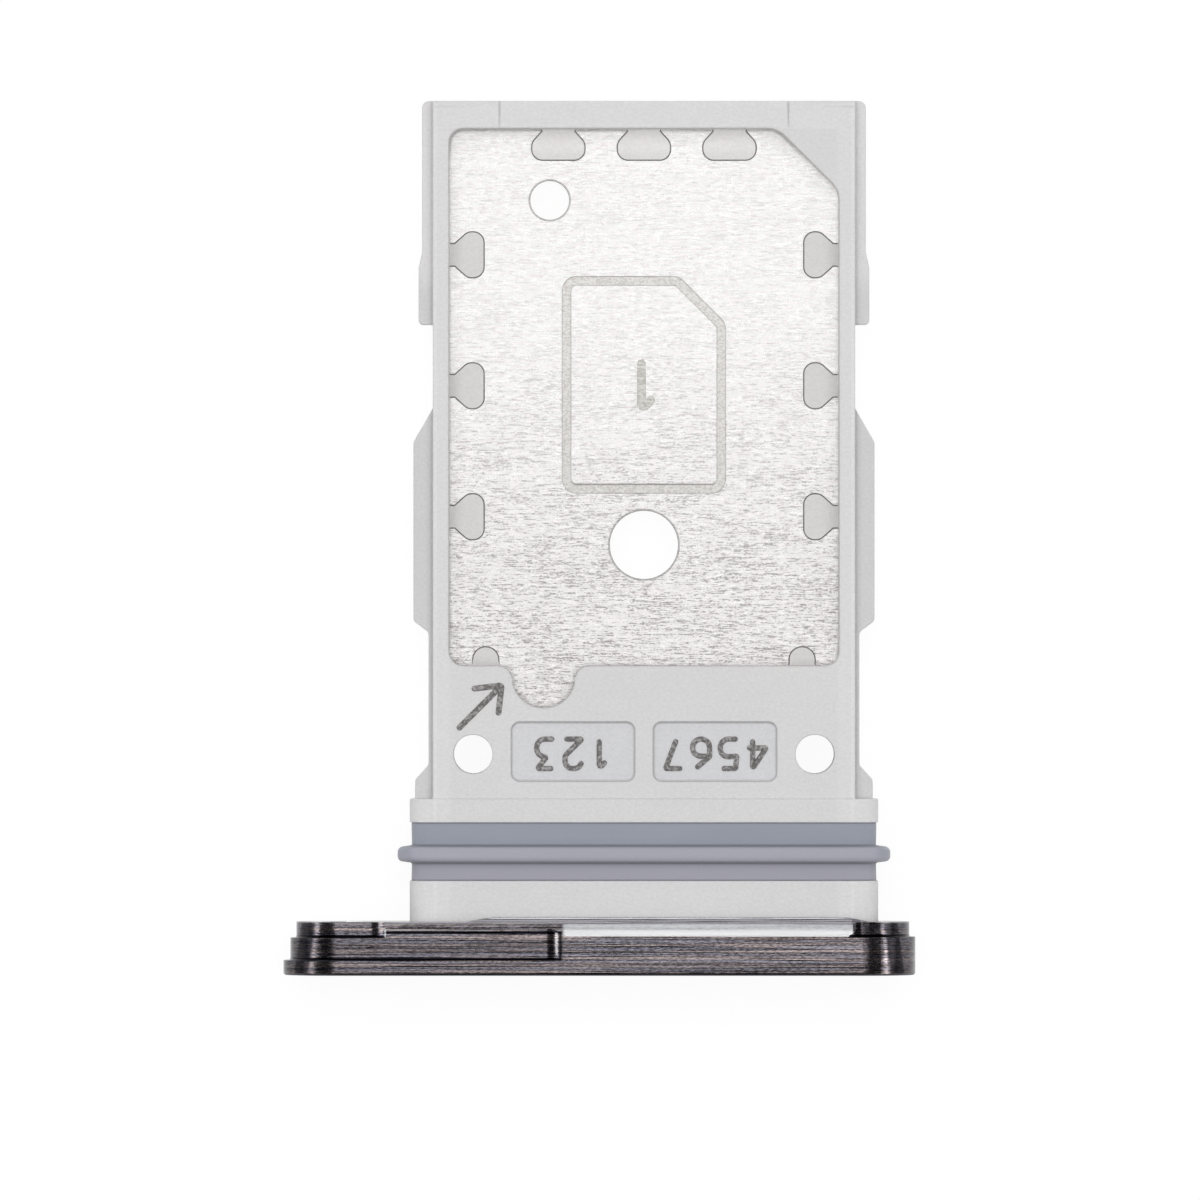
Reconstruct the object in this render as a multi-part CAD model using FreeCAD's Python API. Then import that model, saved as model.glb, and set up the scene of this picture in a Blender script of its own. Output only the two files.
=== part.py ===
"""Sim card tray: a moulded frame with a card pocket on each side of a stamped steel sheet,
closed by a machined face plate and sealed by a rubber ring round its neck.

The tray lies flat. The origin is where its centre line meets the outer face of the face plate.
+Y runs into the device, +Z is the side of the first pocket, and sizes are in millimetres.
"""
import FreeCAD, Part
import math
import os

from FreeCAD import Vector

# The nano card that each pocket takes
CARD_WIDTH = 8.80
CARD_LENGTH = 12.30
CARD_THICKNESS = 0.67
SIDE_CLEARANCE = 0.10
END_CLEARANCE = 0.05
DEPTH_CLEARANCE = 0.03

# Pocket outline
POCKET_CORNER_RADIUS = 0.33
POCKET_CHAMFER = 1.42
POCKET_CHAMFER_RADIUS = 0.55
POCKET_EDGE_CHAMFER = 0.05
NOTCH_X = -2.32
NOTCH_WIDTH = 1.43
NOTCH_DEPTH = 0.97
NOTCH_END_RADIUS = 0.70
NOTCH_MOUTH_RADIUS = 0.34

# Face plate
PLATE_LENGTH = 14.62
PLATE_HEIGHT = 2.48
PLATE_OFFSET = -1.03
PLATE_THICKNESS = 1.24
PLATE_FRONT_RADIUS = 0.07
SOCKET_WALL = 0.65
EJECTOR_HOLE_RADIUS = 0.55
EJECTOR_HOLE_CHAMFER = 0.06
CUTTER_RADIUS = 0.50
LEFT_REBATE_FROM = 0.35
LEFT_REBATE_DEPTH = 0.16
LEFT_REBATE_STOP = -1.90
LEFT_CORNER_FROM = 0.87
LEFT_CORNER_DEPTH = 0.30
LEFT_CORNER_STOP = -5.98
RIGHT_REBATE_FROM = 0.89
RIGHT_REBATE_DEPTH = 0.14
RIGHT_REBATE_STOP = 4.71
LEDGE_LEVEL = 1.00
LEDGE_CHAMFER_FROM = 0.93
LEDGE_LEFT = -6.02
LEDGE_RIGHT = 4.90
LIP_REACH = 0.11
LIP_LEFT = -4.11
LIP_RIGHT = 5.24
LIP_TAPER = 0.60

# Neck and seal
NECK_WIDTH = 10.83
NECK_HEIGHT = 1.70
NECK_RADIUS = 0.45
NECK_FRONT_LENGTH = 0.95
SEAL_LENGTH = 1.34
SEAL_GROOVE_DEPTH = 0.30
SEAL_SUNK = 0.04
RIDGE_FROM = 0.41
RIDGE_BASE_WIDTH = 0.40
RIDGE_TIP_WIDTH = 0.32
RIDGE_STAND = 0.28
RIDGE_TIP_RADIUS = 0.12
FLANGE_LENGTH = 0.55

# Frame
BAR_LENGTH = 3.08
RIM_WIDTH = 0.38
REAR_BAR_LENGTH = 0.65
RIM_EDGE_RADIUS = 0.05
REAR_EDGE_RADIUS = 0.20
RAMP_WIDTH = 6.68
RAMP_LENGTH = 0.58
RAMP_DROP = 0.17
BAR_HOLE_X = 3.95
BAR_HOLE_AHEAD = 1.03
BAR_HOLE_RADIUS = 0.45
WINDOW_WIDTH = 2.86
WINDOW_LENGTH = 1.38
WINDOW_GAP = 0.42
WINDOW_AHEAD = 1.09
WINDOW_RADIUS = 0.20
WINDOW_DEPTH = 0.10

# Guide rails along the frame's sides, from the flange to the rear
RAIL_HEIGHT = 0.84
SHOULDER_RAIL = 0.41
SHOULDER_RAIL_LENGTH = 0.44
SHOULDER_RAMP = 0.34
WAIST_RAIL = 0.10
MAIN_RAIL = 0.45
MAIN_RAIL_AHEAD = 4.11
MAIN_RAIL_LENGTH = 4.13
MAIN_FRONT_RAMP = 0.26
MAIN_REAR_RAMP = 0.79
FLARE_RAIL = 0.33
FLARE_LENGTH = 1.31
FLARE_RAMP = 0.37
REAR_RAIL = 0.25
REAR_RAIL_LENGTH = 5.17
RAIL_CORNER_RADIUS = 0.16
RAIL_STEP_RADIUS = 0.10

# Steel sheet
SHEET_THICKNESS = 0.15
SHEET_SIDE_EMBED = 0.22
SHEET_REAR_EMBED = 0.30
SHEET_NOTCH_MARGIN = 0.25
TONGUE_WALL = 0.40
TONGUE_COVER = 0.25
LARGE_HOLE_RADIUS = 0.79
LARGE_HOLE_AHEAD = 2.79
SMALL_HOLE_RADIUS = 0.45
SMALL_HOLE_X = -2.18
SMALL_HOLE_BEHIND = 1.64
MARK_WIDTH = 3.78
MARK_LENGTH = 5.01
MARK_AHEAD = 6.49
MARK_LINE = 0.20
MARK_DEPTH = 0.03
MARK_CHAMFER = 1.08
MARK_RADIUS = 0.33

# Keys of frame plastic that fill cut-outs in the sheet
SIDE_KEYS = 3
SIDE_KEY_BEHIND = 2.90
SIDE_KEY_PITCH = 3.03
SIDE_KEY_THROAT = 0.54
SIDE_KEY_THROAT_LENGTH = 0.12
SIDE_KEY_SHOULDER_END = 0.42
SIDE_KEY_HEAD = 1.08
SIDE_KEY_REACH = 0.81
REAR_KEYS = 3
REAR_KEY_PITCH = 1.98
REAR_KEY_THROAT = 0.78
REAR_KEY_THROAT_LENGTH = 0.04
REAR_KEY_SHOULDER_END = 0.30
REAR_KEY_HEAD = 1.25
REAR_KEY_REACH = 0.72
KEY_HEAD_RADIUS = 0.26
FRONT_KEY_X = 3.66
FRONT_KEY_WIDTH = 0.62
FRONT_KEY_REACH = 0.44

# Heights, counted from the middle of the sheet
HALF_SHEET = SHEET_THICKNESS / 2
HALF_FRAME = HALF_SHEET + CARD_THICKNESS + DEPTH_CLEARANCE
HALF_PLATE = PLATE_HEIGHT / 2
OVERRUN = 1.0
TOUCH = 1e-6

# Places along the tray, from the outer face to the rear
SOCKET_END = SOCKET_WALL
SEAL_START = PLATE_THICKNESS + NECK_FRONT_LENGTH
SEAL_END = SEAL_START + SEAL_LENGTH
FLANGE_END = SEAL_END + FLANGE_LENGTH
POCKET_START = FLANGE_END + BAR_LENGTH
POCKET_END = POCKET_START + CARD_LENGTH + 2 * END_CLEARANCE
TRAY_END = POCKET_END + REAR_BAR_LENGTH

# Places across the tray, from its centre line
HALF_POCKET = CARD_WIDTH / 2 + SIDE_CLEARANCE
HALF_RIM = HALF_POCKET + RIM_WIDTH
PLATE_LEFT = PLATE_OFFSET - PLATE_LENGTH / 2
PLATE_RIGHT = PLATE_OFFSET + PLATE_LENGTH / 2
EJECTOR_HOLE_X = PLATE_LEFT + HALF_PLATE


def rounded_wire(corners):
    """A closed wire in the XY plane through (x, y, radius) corners, each rounded to its radius."""
    starts, middles, ends = [], [], []
    for index, (x, y, radius) in enumerate(corners):
        here = Vector(x, y, 0)
        before = Vector(*corners[index - 1][:2], 0)
        after = Vector(*corners[(index + 1) % len(corners)][:2], 0)
        inward = (before - here).normalize()
        outward = (after - here).normalize()
        half_angle = inward.getAngle(outward) / 2
        reach = radius / math.tan(half_angle)
        starts.append(here + inward * reach)
        ends.append(here + outward * reach)
        bisector = (inward + outward).normalize() if radius else Vector(0, 0, 0)
        middles.append(here + bisector * (radius / math.sin(half_angle) - radius))
    edges = []
    for index, corner in enumerate(corners):
        if corner[2] > 0:
            edges.append(Part.Arc(starts[index], middles[index], ends[index]).toShape())
        following = starts[(index + 1) % len(corners)]
        if ends[index].distanceToPoint(following) > TOUCH:
            edges.append(Part.LineSegment(ends[index], following).toShape())
    return Part.Wire(edges)


def slab(corners, low, high):
    """A plan outline of (x, y, radius) corners, carried up from one height to another."""
    wire = rounded_wire(corners)
    wire.translate(Vector(0, 0, low))
    return Part.Face(wire).extrude(Vector(0, 0, high - low))


def rectangle(left, right, near, far, radius=0.0):
    """The four corners of a plan rectangle, all with one radius."""
    return [(left, near, radius), (right, near, radius), (right, far, radius), (left, far, radius)]


def cross_wire(left, right, half_height, radius, y):
    """A rounded rectangle that stands across the tray at the distance y from the outer face."""
    wire = rounded_wire(rectangle(left, right, -half_height, half_height, radius))
    wire.rotate(Vector(0, 0, 0), Vector(1, 0, 0), 90)
    wire.translate(Vector(0, y, 0))
    return wire


def cross_bar(left, right, half_height, radius, start, end):
    """A bar of rounded rectangular section that runs along the tray."""
    face = Part.Face(cross_wire(left, right, half_height, radius, start))
    return face.extrude(Vector(0, end - start, 0))


def neck_wire(growth, y):
    """The neck's section at y, with its whole outline moved out by growth."""
    half_width = NECK_WIDTH / 2 + growth
    return cross_wire(-half_width, half_width, NECK_HEIGHT / 2 + growth, NECK_RADIUS + growth, y)


def neck_bar(growth, start, end):
    """A length of the neck's section, with its whole outline moved out by growth."""
    return Part.Face(neck_wire(growth, start)).extrude(Vector(0, end - start, 0))


def neck_taper(growth_start, start, growth_end, end):
    """A length of the neck whose outline grows or shrinks evenly from one end to the other."""
    return Part.makeLoft([neck_wire(growth_start, start), neck_wire(growth_end, end)], True, True)


def upright_hole(x, y, radius):
    """A cutter for a round hole right through the tray, top to bottom."""
    return Part.makeCylinder(radius, 2 * HALF_FRAME + 2 * OVERRUN,
                             Vector(x, y, -HALF_FRAME - OVERRUN), Vector(0, 0, 1))


def turned_over(shape):
    """The same shape on the tray's other side: half a turn about the centre line."""
    copy = shape.copy()
    copy.rotate(Vector(0, 0, 0), Vector(0, 1, 0), 180)
    return copy


def fused(shapes):
    """One solid from shapes that touch or overlap, with no seams left between them."""
    return shapes[0].multiFuse(shapes[1:]).removeSplitter()


def pocket_corners(growth=0.0):
    """Plan outline of the first pocket, with its thumb notch and card-key chamfer, moved out by growth."""
    side = HALF_POCKET + growth
    front = POCKET_START - growth
    rear = POCKET_END + growth
    notch_left = NOTCH_X - NOTCH_WIDTH / 2 - growth
    notch_right = NOTCH_X + NOTCH_WIDTH / 2 + growth
    notch_end = POCKET_START - NOTCH_DEPTH - growth
    corner = POCKET_CORNER_RADIUS + growth
    key = POCKET_CHAMFER + growth * (2 - math.sqrt(2))
    key_radius = POCKET_CHAMFER_RADIUS + growth
    return [
        (-side, front, corner),
        (notch_left, front, NOTCH_MOUTH_RADIUS - growth),
        (notch_left, notch_end, NOTCH_END_RADIUS + growth),
        (notch_right, notch_end, NOTCH_END_RADIUS + growth),
        (notch_right, front, NOTCH_MOUTH_RADIUS - growth),
        (side, front, corner),
        (side, rear - key, key_radius),
        (side - key, rear, key_radius),
        (-side, rear, corner),
    ]


def pocket_cutter():
    """The space above the sheet that one card lies in, with the chamfer round its mouth."""
    space = slab(pocket_corners(), HALF_SHEET, HALF_FRAME + OVERRUN)
    foot = rounded_wire(pocket_corners())
    foot.translate(Vector(0, 0, HALF_FRAME - POCKET_EDGE_CHAMFER))
    mouth = rounded_wire(pocket_corners(POCKET_EDGE_CHAMFER))
    mouth.translate(Vector(0, 0, HALF_FRAME))
    return space.fuse(Part.makeLoft([foot, mouth], True, True))


def key_corners(throat, throat_length, shoulder_end, head, reach, embed):
    """Outline of a mushroom key that grows along +Y from a wall at y = 0, rooted embed behind it.

    Its shoulders slant out from the end of the throat to the head's full width at shoulder_end.
    """
    return [
        (-throat / 2, -embed, 0),
        (throat / 2, -embed, 0),
        (throat / 2, throat_length, 0),
        (head / 2, shoulder_end, KEY_HEAD_RADIUS),
        (head / 2, reach, KEY_HEAD_RADIUS),
        (-head / 2, reach, KEY_HEAD_RADIUS),
        (-head / 2, shoulder_end, KEY_HEAD_RADIUS),
        (-throat / 2, throat_length, 0),
    ]


def placed_key(corners, x, y, turn):
    """A key's cutter through the sheet, turned about the upright axis and set down at x, y."""
    key = slab(corners, -HALF_SHEET, HALF_SHEET)
    key.rotate(Vector(0, 0, 0), Vector(0, 0, 1), turn)
    key.translate(Vector(x, y, 0))
    return key


def sheet_keys():
    """Cutters for every cut-out in the sheet's edge that the frame's plastic fills."""
    side = key_corners(SIDE_KEY_THROAT, SIDE_KEY_THROAT_LENGTH, SIDE_KEY_SHOULDER_END,
                       SIDE_KEY_HEAD, SIDE_KEY_REACH, SHEET_SIDE_EMBED)
    rear = key_corners(REAR_KEY_THROAT, REAR_KEY_THROAT_LENGTH, REAR_KEY_SHOULDER_END,
                       REAR_KEY_HEAD, REAR_KEY_REACH, SHEET_REAR_EMBED)
    keys = []
    for number in range(SIDE_KEYS):
        y = POCKET_END - SIDE_KEY_BEHIND - number * SIDE_KEY_PITCH
        keys.append(placed_key(side, -HALF_POCKET, y, -90))
        keys.append(placed_key(side, HALF_POCKET, y, 90))
    for number in range(REAR_KEYS):
        x = (number - (REAR_KEYS - 1) / 2) * REAR_KEY_PITCH
        keys.append(placed_key(rear, x, POCKET_END, 180))
    half = FRONT_KEY_WIDTH / 2
    front = [(-half, -SHEET_NOTCH_MARGIN, 0), (half, -SHEET_NOTCH_MARGIN, 0),
             (half, FRONT_KEY_REACH, half), (-half, FRONT_KEY_REACH, half)]
    keys.append(placed_key(front, -FRONT_KEY_X, POCKET_START, 0))
    keys.append(placed_key(front, FRONT_KEY_X, POCKET_START, 0))
    return keys


def sheet_holes():
    """Cutters for the two round holes in the pocket's floor."""
    return [
        upright_hole(0, POCKET_START + LARGE_HOLE_AHEAD, LARGE_HOLE_RADIUS),
        upright_hole(SMALL_HOLE_X, POCKET_END - SMALL_HOLE_BEHIND, SMALL_HOLE_RADIUS),
    ]


def card_mark():
    """The coined line in the pocket's floor that shows which way round the card lies."""
    def outline(inset):
        side = MARK_WIDTH / 2 - inset
        near = POCKET_START + MARK_AHEAD - MARK_LENGTH / 2 + inset
        far = POCKET_START + MARK_AHEAD + MARK_LENGTH / 2 - inset
        key = MARK_CHAMFER - inset * (2 - math.sqrt(2))
        radius = MARK_RADIUS - inset
        return [(-side, near, radius), (side, near, radius), (side, far - key, radius),
                (side - key, far, radius), (-side, far, radius)]

    low = HALF_SHEET - MARK_DEPTH
    high = HALF_SHEET + OVERRUN
    return slab(outline(0.0), low, high).cut(slab(outline(MARK_LINE), low, high))


def sheet_blank():
    """The sheet as stamped: its outline, the cut-outs for the keys and the two round holes."""
    side = HALF_POCKET + SHEET_SIDE_EMBED
    rear = POCKET_END + SHEET_REAR_EMBED
    front = POCKET_START - NOTCH_DEPTH - SHEET_NOTCH_MARGIN
    tongue = BAR_HOLE_X - BAR_HOLE_RADIUS - TONGUE_WALL
    tongue_end = SOCKET_END + TONGUE_COVER
    outline = slab([
        (-tongue, tongue_end, 0),
        (tongue, tongue_end, 0),
        (tongue, front, 0),
        (side, front, 0),
        (side, rear, 0),
        (-side, rear, 0),
        (-side, front, 0),
        (-tongue, front, 0),
    ], -HALF_SHEET, HALF_SHEET)
    return outline.cut(sheet_keys() + sheet_holes())


def floor_sheet(blank):
    """The steel sheet: both pockets' floor, keyed into the frame, with a tongue down the neck."""
    mark = card_mark()
    return blank.cut([mark, turned_over(mark)])


def rail_corners():
    """Plan outline of the guide rails, both sides, from the flange to the rear."""
    main_start = FLANGE_END + MAIN_RAIL_AHEAD
    main_end = main_start + MAIN_RAIL_LENGTH
    flare_start = TRAY_END - REAR_RAIL_LENGTH
    flare_end = flare_start + FLARE_LENGTH
    shoulder_end = FLANGE_END + SHOULDER_RAIL_LENGTH
    soft = RAIL_CORNER_RADIUS
    right = [
        (SHOULDER_RAIL, FLANGE_END, 0),
        (SHOULDER_RAIL, shoulder_end, soft),
        (WAIST_RAIL, shoulder_end + SHOULDER_RAMP, soft),
        (WAIST_RAIL, main_start - MAIN_FRONT_RAMP, soft),
        (MAIN_RAIL, main_start, soft),
        (MAIN_RAIL, main_end, soft),
        (0, main_end + MAIN_REAR_RAMP, soft),
        (0, flare_start, 0),
        (FLARE_RAIL, flare_start, RAIL_STEP_RADIUS),
        (FLARE_RAIL, flare_end, soft),
        (REAR_RAIL, flare_end + FLARE_RAMP, soft),
        (REAR_RAIL, TRAY_END, soft),
    ]
    right = [(HALF_RIM + stand, y, radius) for stand, y, radius in right]
    left = [(-x, y, radius) for x, y, radius in reversed(right)]
    return right + left


def rim_block():
    """The block that the pockets are sunk into: a rounded section with its rear edges rounded off."""
    section = cross_bar(-HALF_RIM, HALF_RIM, HALF_FRAME, RIM_EDGE_RADIUS, SEAL_END, TRAY_END)
    profile = rounded_wire([
        (SEAL_END, -HALF_FRAME, 0),
        (TRAY_END, -HALF_FRAME, REAR_EDGE_RADIUS),
        (TRAY_END, HALF_FRAME, REAR_EDGE_RADIUS),
        (SEAL_END, HALF_FRAME, 0),
    ])
    profile.rotate(Vector(0, 0, 0), Vector(1, 1, 1), 120)
    profile.translate(Vector(-HALF_RIM, 0, 0))
    side = Part.Face(profile).extrude(Vector(2 * HALF_RIM, 0, 0))
    return section.common(side)


def lead_in_ramp():
    """The slope cut along the middle of the rear bar, where the reader's contacts ride up."""
    start = TRAY_END - RAMP_LENGTH
    profile = Part.makePolygon([
        Vector(-RAMP_WIDTH / 2, start, HALF_FRAME),
        Vector(-RAMP_WIDTH / 2, TRAY_END + RAMP_LENGTH, HALF_FRAME - 2 * RAMP_DROP),
        Vector(-RAMP_WIDTH / 2, TRAY_END + RAMP_LENGTH, HALF_FRAME + OVERRUN),
        Vector(-RAMP_WIDTH / 2, start, HALF_FRAME + OVERRUN),
        Vector(-RAMP_WIDTH / 2, start, HALF_FRAME),
    ])
    return Part.Face(profile).extrude(Vector(RAMP_WIDTH, 0, 0))


def windows():
    """The two shallow recesses in the front bar."""
    near = FLANGE_END + WINDOW_AHEAD - WINDOW_LENGTH / 2
    far = near + WINDOW_LENGTH
    inner = WINDOW_GAP / 2
    outer = inner + WINDOW_WIDTH
    low = HALF_FRAME - WINDOW_DEPTH
    high = HALF_FRAME + OVERRUN
    return [slab(rectangle(-outer, -inner, near, far, WINDOW_RADIUS), low, high),
            slab(rectangle(inner, outer, near, far, WINDOW_RADIUS), low, high)]


def tray_frame(blank):
    """The moulded frame with its neck. Its plastic closes round the sheet and fills the sheet's keys."""
    rails = slab(rail_corners(), -RAIL_HEIGHT / 2, RAIL_HEIGHT / 2)
    neck = neck_bar(0, SOCKET_END, FLANGE_END)
    body = fused([rim_block(), rails, neck])
    groove = neck_bar(OVERRUN, SEAL_START, SEAL_END).cut(
        neck_bar(-SEAL_GROOVE_DEPTH, SEAL_START, SEAL_END))
    pocket = pocket_cutter()
    ramp = lead_in_ramp()
    bar_hole_y = FLANGE_END + BAR_HOLE_AHEAD
    bar_holes = [upright_hole(side * BAR_HOLE_X, bar_hole_y, BAR_HOLE_RADIUS) for side in (-1, 1)]
    cutters = [groove, pocket, turned_over(pocket), ramp, turned_over(ramp), blank]
    return body.cut(cutters + bar_holes + windows() + sheet_holes())


def neck_seal():
    """The rubber ring in the neck's groove, with the ridge that closes against the slot."""
    ridge_start = SEAL_START + RIDGE_FROM
    ridge_end = ridge_start + RIDGE_BASE_WIDTH
    slope = (RIDGE_BASE_WIDTH - RIDGE_TIP_WIDTH) / 2
    tip_start = ridge_start + slope
    tip_end = ridge_end - slope
    ring = fused([
        neck_bar(-SEAL_SUNK, SEAL_START, SEAL_END),
        neck_taper(-SEAL_SUNK, ridge_start, RIDGE_STAND, tip_start),
        neck_bar(RIDGE_STAND, tip_start, tip_end),
        neck_taper(RIDGE_STAND, tip_end, -SEAL_SUNK, ridge_end),
    ])
    tips = [edge for edge in ring.Edges
            if edge.BoundBox.YLength < TOUCH
            and min(abs(edge.BoundBox.YMin - tip_start), abs(edge.BoundBox.YMin - tip_end)) < TOUCH]
    core = neck_bar(-SEAL_GROOVE_DEPTH, SEAL_START, SEAL_END)
    return ring.makeFillet(RIDGE_TIP_RADIUS, tips).cut(core)


def plate_bar(inset, start, end):
    """A length of the face plate's outline, two straights and two half rounds, moved in by inset."""
    half = HALF_PLATE - inset
    return cross_bar(PLATE_LEFT + inset, PLATE_RIGHT - inset, half, half, start, end)


def rebate(end_sign, stop, level, depth, start):
    """What a round cutter takes off one end of the plate's edge, behind the distance start.

    The cut is depth deep and runs out in the cutter's own curve. That curve leaves the
    surrounding edge, which is itself level deep, at x = stop.
    """
    run_out = math.sqrt(CUTTER_RADIUS ** 2 - (CUTTER_RADIUS - depth + level) ** 2)
    centre = stop + end_sign * run_out
    tip = PLATE_RIGHT + OVERRUN if end_sign > 0 else PLATE_LEFT - OVERRUN
    finish = PLATE_THICKNESS + LIP_REACH + OVERRUN
    reach = HALF_PLATE + OVERRUN
    block = Part.makeBox(abs(tip - centre), finish - start, 2 * reach,
                         Vector(min(tip, centre), start, -reach))
    ring = block.cut(plate_bar(depth, start, finish))
    height = HALF_PLATE - depth + CUTTER_RADIUS
    cutters = [Part.makeCylinder(CUTTER_RADIUS, finish - start, Vector(centre, start, side * height),
                                 Vector(0, 1, 0)) for side in (-1, 1)]
    return ring.multiFuse(cutters)


def ledge_cutter():
    """The chamfer behind the plate's top edge, down to the ledge that meets the neck."""
    drop = HALF_PLATE - LEDGE_LEVEL
    finish = PLATE_THICKNESS + LIP_REACH + OVERRUN
    points = [
        (LEDGE_CHAMFER_FROM - OVERRUN, HALF_PLATE + OVERRUN),
        (LEDGE_CHAMFER_FROM + drop, LEDGE_LEVEL),
        (finish, LEDGE_LEVEL),
        (finish, HALF_PLATE + OVERRUN),
    ]
    corners = [Vector(LEDGE_LEFT, y, z) for y, z in points]
    profile = Part.makePolygon(corners + corners[:1])
    return Part.Face(profile).extrude(Vector(LEDGE_RIGHT - LEDGE_LEFT, 0, 0))


def rear_lip():
    """The low step on the plate's back that overlaps the neck, tapering off towards both ends."""
    back = PLATE_THICKNESS
    tip = PLATE_THICKNESS + LIP_REACH
    return slab([
        (LIP_LEFT, back - LIP_REACH, 0),
        (LIP_RIGHT, back - LIP_REACH, 0),
        (LIP_RIGHT, back, 0),
        (LIP_RIGHT - LIP_TAPER, tip, LIP_REACH),
        (LIP_LEFT + LIP_TAPER, tip, LIP_REACH),
        (LIP_LEFT, back, 0),
    ], -LEDGE_LEVEL, LEDGE_LEVEL)


def face_plate():
    """The machined plate that closes the slot, with its stepped edge, socket and ejector hole."""
    plate = plate_bar(0, 0, PLATE_THICKNESS)
    front_edges = [edge for edge in plate.Edges if edge.BoundBox.YMax < TOUCH]
    plate = plate.makeFillet(PLATE_FRONT_RADIUS, front_edges)
    plate = plate.fuse(rear_lip())
    ledge = ledge_cutter()
    under_ledge = ledge.mirror(Vector(0, 0, 0), Vector(0, 0, 1))
    plate = plate.cut([
        rebate(-1, LEFT_REBATE_STOP, 0, LEFT_REBATE_DEPTH, LEFT_REBATE_FROM),
        rebate(-1, LEFT_CORNER_STOP, LEFT_REBATE_DEPTH, LEFT_CORNER_DEPTH, LEFT_CORNER_FROM),
        rebate(1, RIGHT_REBATE_STOP, 0, RIGHT_REBATE_DEPTH, RIGHT_REBATE_FROM),
        ledge,
        under_ledge,
        neck_bar(0, SOCKET_END, PLATE_THICKNESS + LIP_REACH),
    ])
    hole = Part.makeCylinder(EJECTOR_HOLE_RADIUS, PLATE_THICKNESS + 2 * OVERRUN,
                             Vector(EJECTOR_HOLE_X, -OVERRUN, 0), Vector(0, 1, 0))
    sink = Part.makeCone(EJECTOR_HOLE_RADIUS + EJECTOR_HOLE_CHAMFER, EJECTOR_HOLE_RADIUS,
                         EJECTOR_HOLE_CHAMFER, Vector(EJECTOR_HOLE_X, 0, 0), Vector(0, 1, 0))
    return plate.cut([hole, sink])


def main():
    """Builds each piece and writes it to its own file."""
    blank = sheet_blank()
    pieces = {
        "face_plate": face_plate(),
        "tray_frame": tray_frame(blank),
        "floor_sheet": floor_sheet(blank),
        "neck_seal": neck_seal(),
    }
    os.makedirs("parts", exist_ok=True)
    for name, shape in pieces.items():
        print(name, len(shape.Solids), "solid, valid:", shape.isValid(), "volume", round(shape.Volume, 4))
        shape.exportStep(f"parts/{name}.step")


main()
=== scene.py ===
"""The looks of a sim card tray: moulded frame, brushed steel floor, silicone seal and dark face plate.

The tray lies on a white table and is seen from straight above, with the way it slides in pointing up.
"""
import logging
import math
from dataclasses import dataclass, field
from enum import Enum
from typing import Callable, Sequence, Union

import bmesh
import bpy
import numpy as np
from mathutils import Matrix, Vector
from mathutils.bvhtree import BVHTree


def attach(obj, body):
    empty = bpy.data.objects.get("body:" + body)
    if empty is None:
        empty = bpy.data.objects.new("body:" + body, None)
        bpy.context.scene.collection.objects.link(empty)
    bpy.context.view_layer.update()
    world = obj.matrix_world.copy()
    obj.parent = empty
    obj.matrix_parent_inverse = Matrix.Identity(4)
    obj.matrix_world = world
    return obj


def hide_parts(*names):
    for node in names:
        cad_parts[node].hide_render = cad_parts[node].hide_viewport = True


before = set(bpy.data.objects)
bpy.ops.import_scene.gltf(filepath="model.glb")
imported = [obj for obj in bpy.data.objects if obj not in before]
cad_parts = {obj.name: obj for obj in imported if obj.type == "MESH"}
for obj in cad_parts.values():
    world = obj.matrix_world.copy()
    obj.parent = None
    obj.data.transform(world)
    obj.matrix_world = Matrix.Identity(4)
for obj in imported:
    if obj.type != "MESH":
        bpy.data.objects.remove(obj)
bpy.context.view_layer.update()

MM = 0.001
MERGE_WITHIN = 1e-4
log = logging.getLogger("tray")

Colour = tuple[float, float, float]
Points = np.ndarray


class Facing(Enum):
    """The side of the tray that a mark stands on."""

    FIRST_POCKET = 1
    SECOND_POCKET = -1


class Stroke(Enum):
    """Plain digits and the strokes of an arrow, as open lines in a box that is one unit high.

    Each corner is its place across and up, and the share of a unit that it is rounded by.
    """

    ONE = ((0.14, 0.74, 0.0), (0.38, 1.00, 0.05), (0.38, 0.00, 0.0))
    TWO = ((0.04, 0.74, 0.0), (0.04, 1.00, 0.25), (0.60, 1.00, 0.25), (0.60, 0.56, 0.20),
           (0.02, 0.00, 0.02), (0.63, 0.00, 0.0))
    THREE = ((0.05, 1.00, 0.0), (0.60, 1.00, 0.03), (0.28, 0.60, 0.03), (0.62, 0.60, 0.27),
             (0.62, 0.00, 0.27), (0.02, 0.00, 0.0))
    FOUR = ((0.46, 0.00, 0.0), (0.46, 1.00, 0.02), (0.00, 0.30, 0.02), (0.66, 0.30, 0.0))
    FIVE = ((0.58, 1.00, 0.0), (0.10, 1.00, 0.03), (0.06, 0.58, 0.03), (0.62, 0.62, 0.26), (0.62, 0.00, 0.28),
            (0.02, 0.00, 0.0))
    SIX = ((0.52, 1.00, 0.0), (0.04, 0.60, 0.10), (0.04, 0.00, 0.28), (0.62, 0.00, 0.28), (0.62, 0.58, 0.28),
           (0.06, 0.58, 0.0))
    SEVEN = ((0.02, 1.00, 0.0), (0.60, 1.00, 0.03), (0.22, 0.00, 0.0))
    SHAFT = ((0.34, 0.00, 0.0), (0.34, 0.97, 0.0))
    HEAD = ((0.04, 0.62, 0.0), (0.34, 1.00, 0.03), (0.64, 0.62, 0.0))


def _operator(operation: str, swapped: bool = False) -> Callable[["Socket", "Number"], "Socket"]:
    """Makes the method of Socket that stands for an operator.

    Args:
        operation: The Math node's operation.
        swapped: Whether the other value comes first, as in 1 - mask.

    Returns:
        The method.
    """
    def apply(self: "Socket", other: "Number") -> "Socket":
        """Adds the operator's Math node."""
        return self._maths(operation, *((other, self) if swapped else (self, other)))

    return apply


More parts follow.
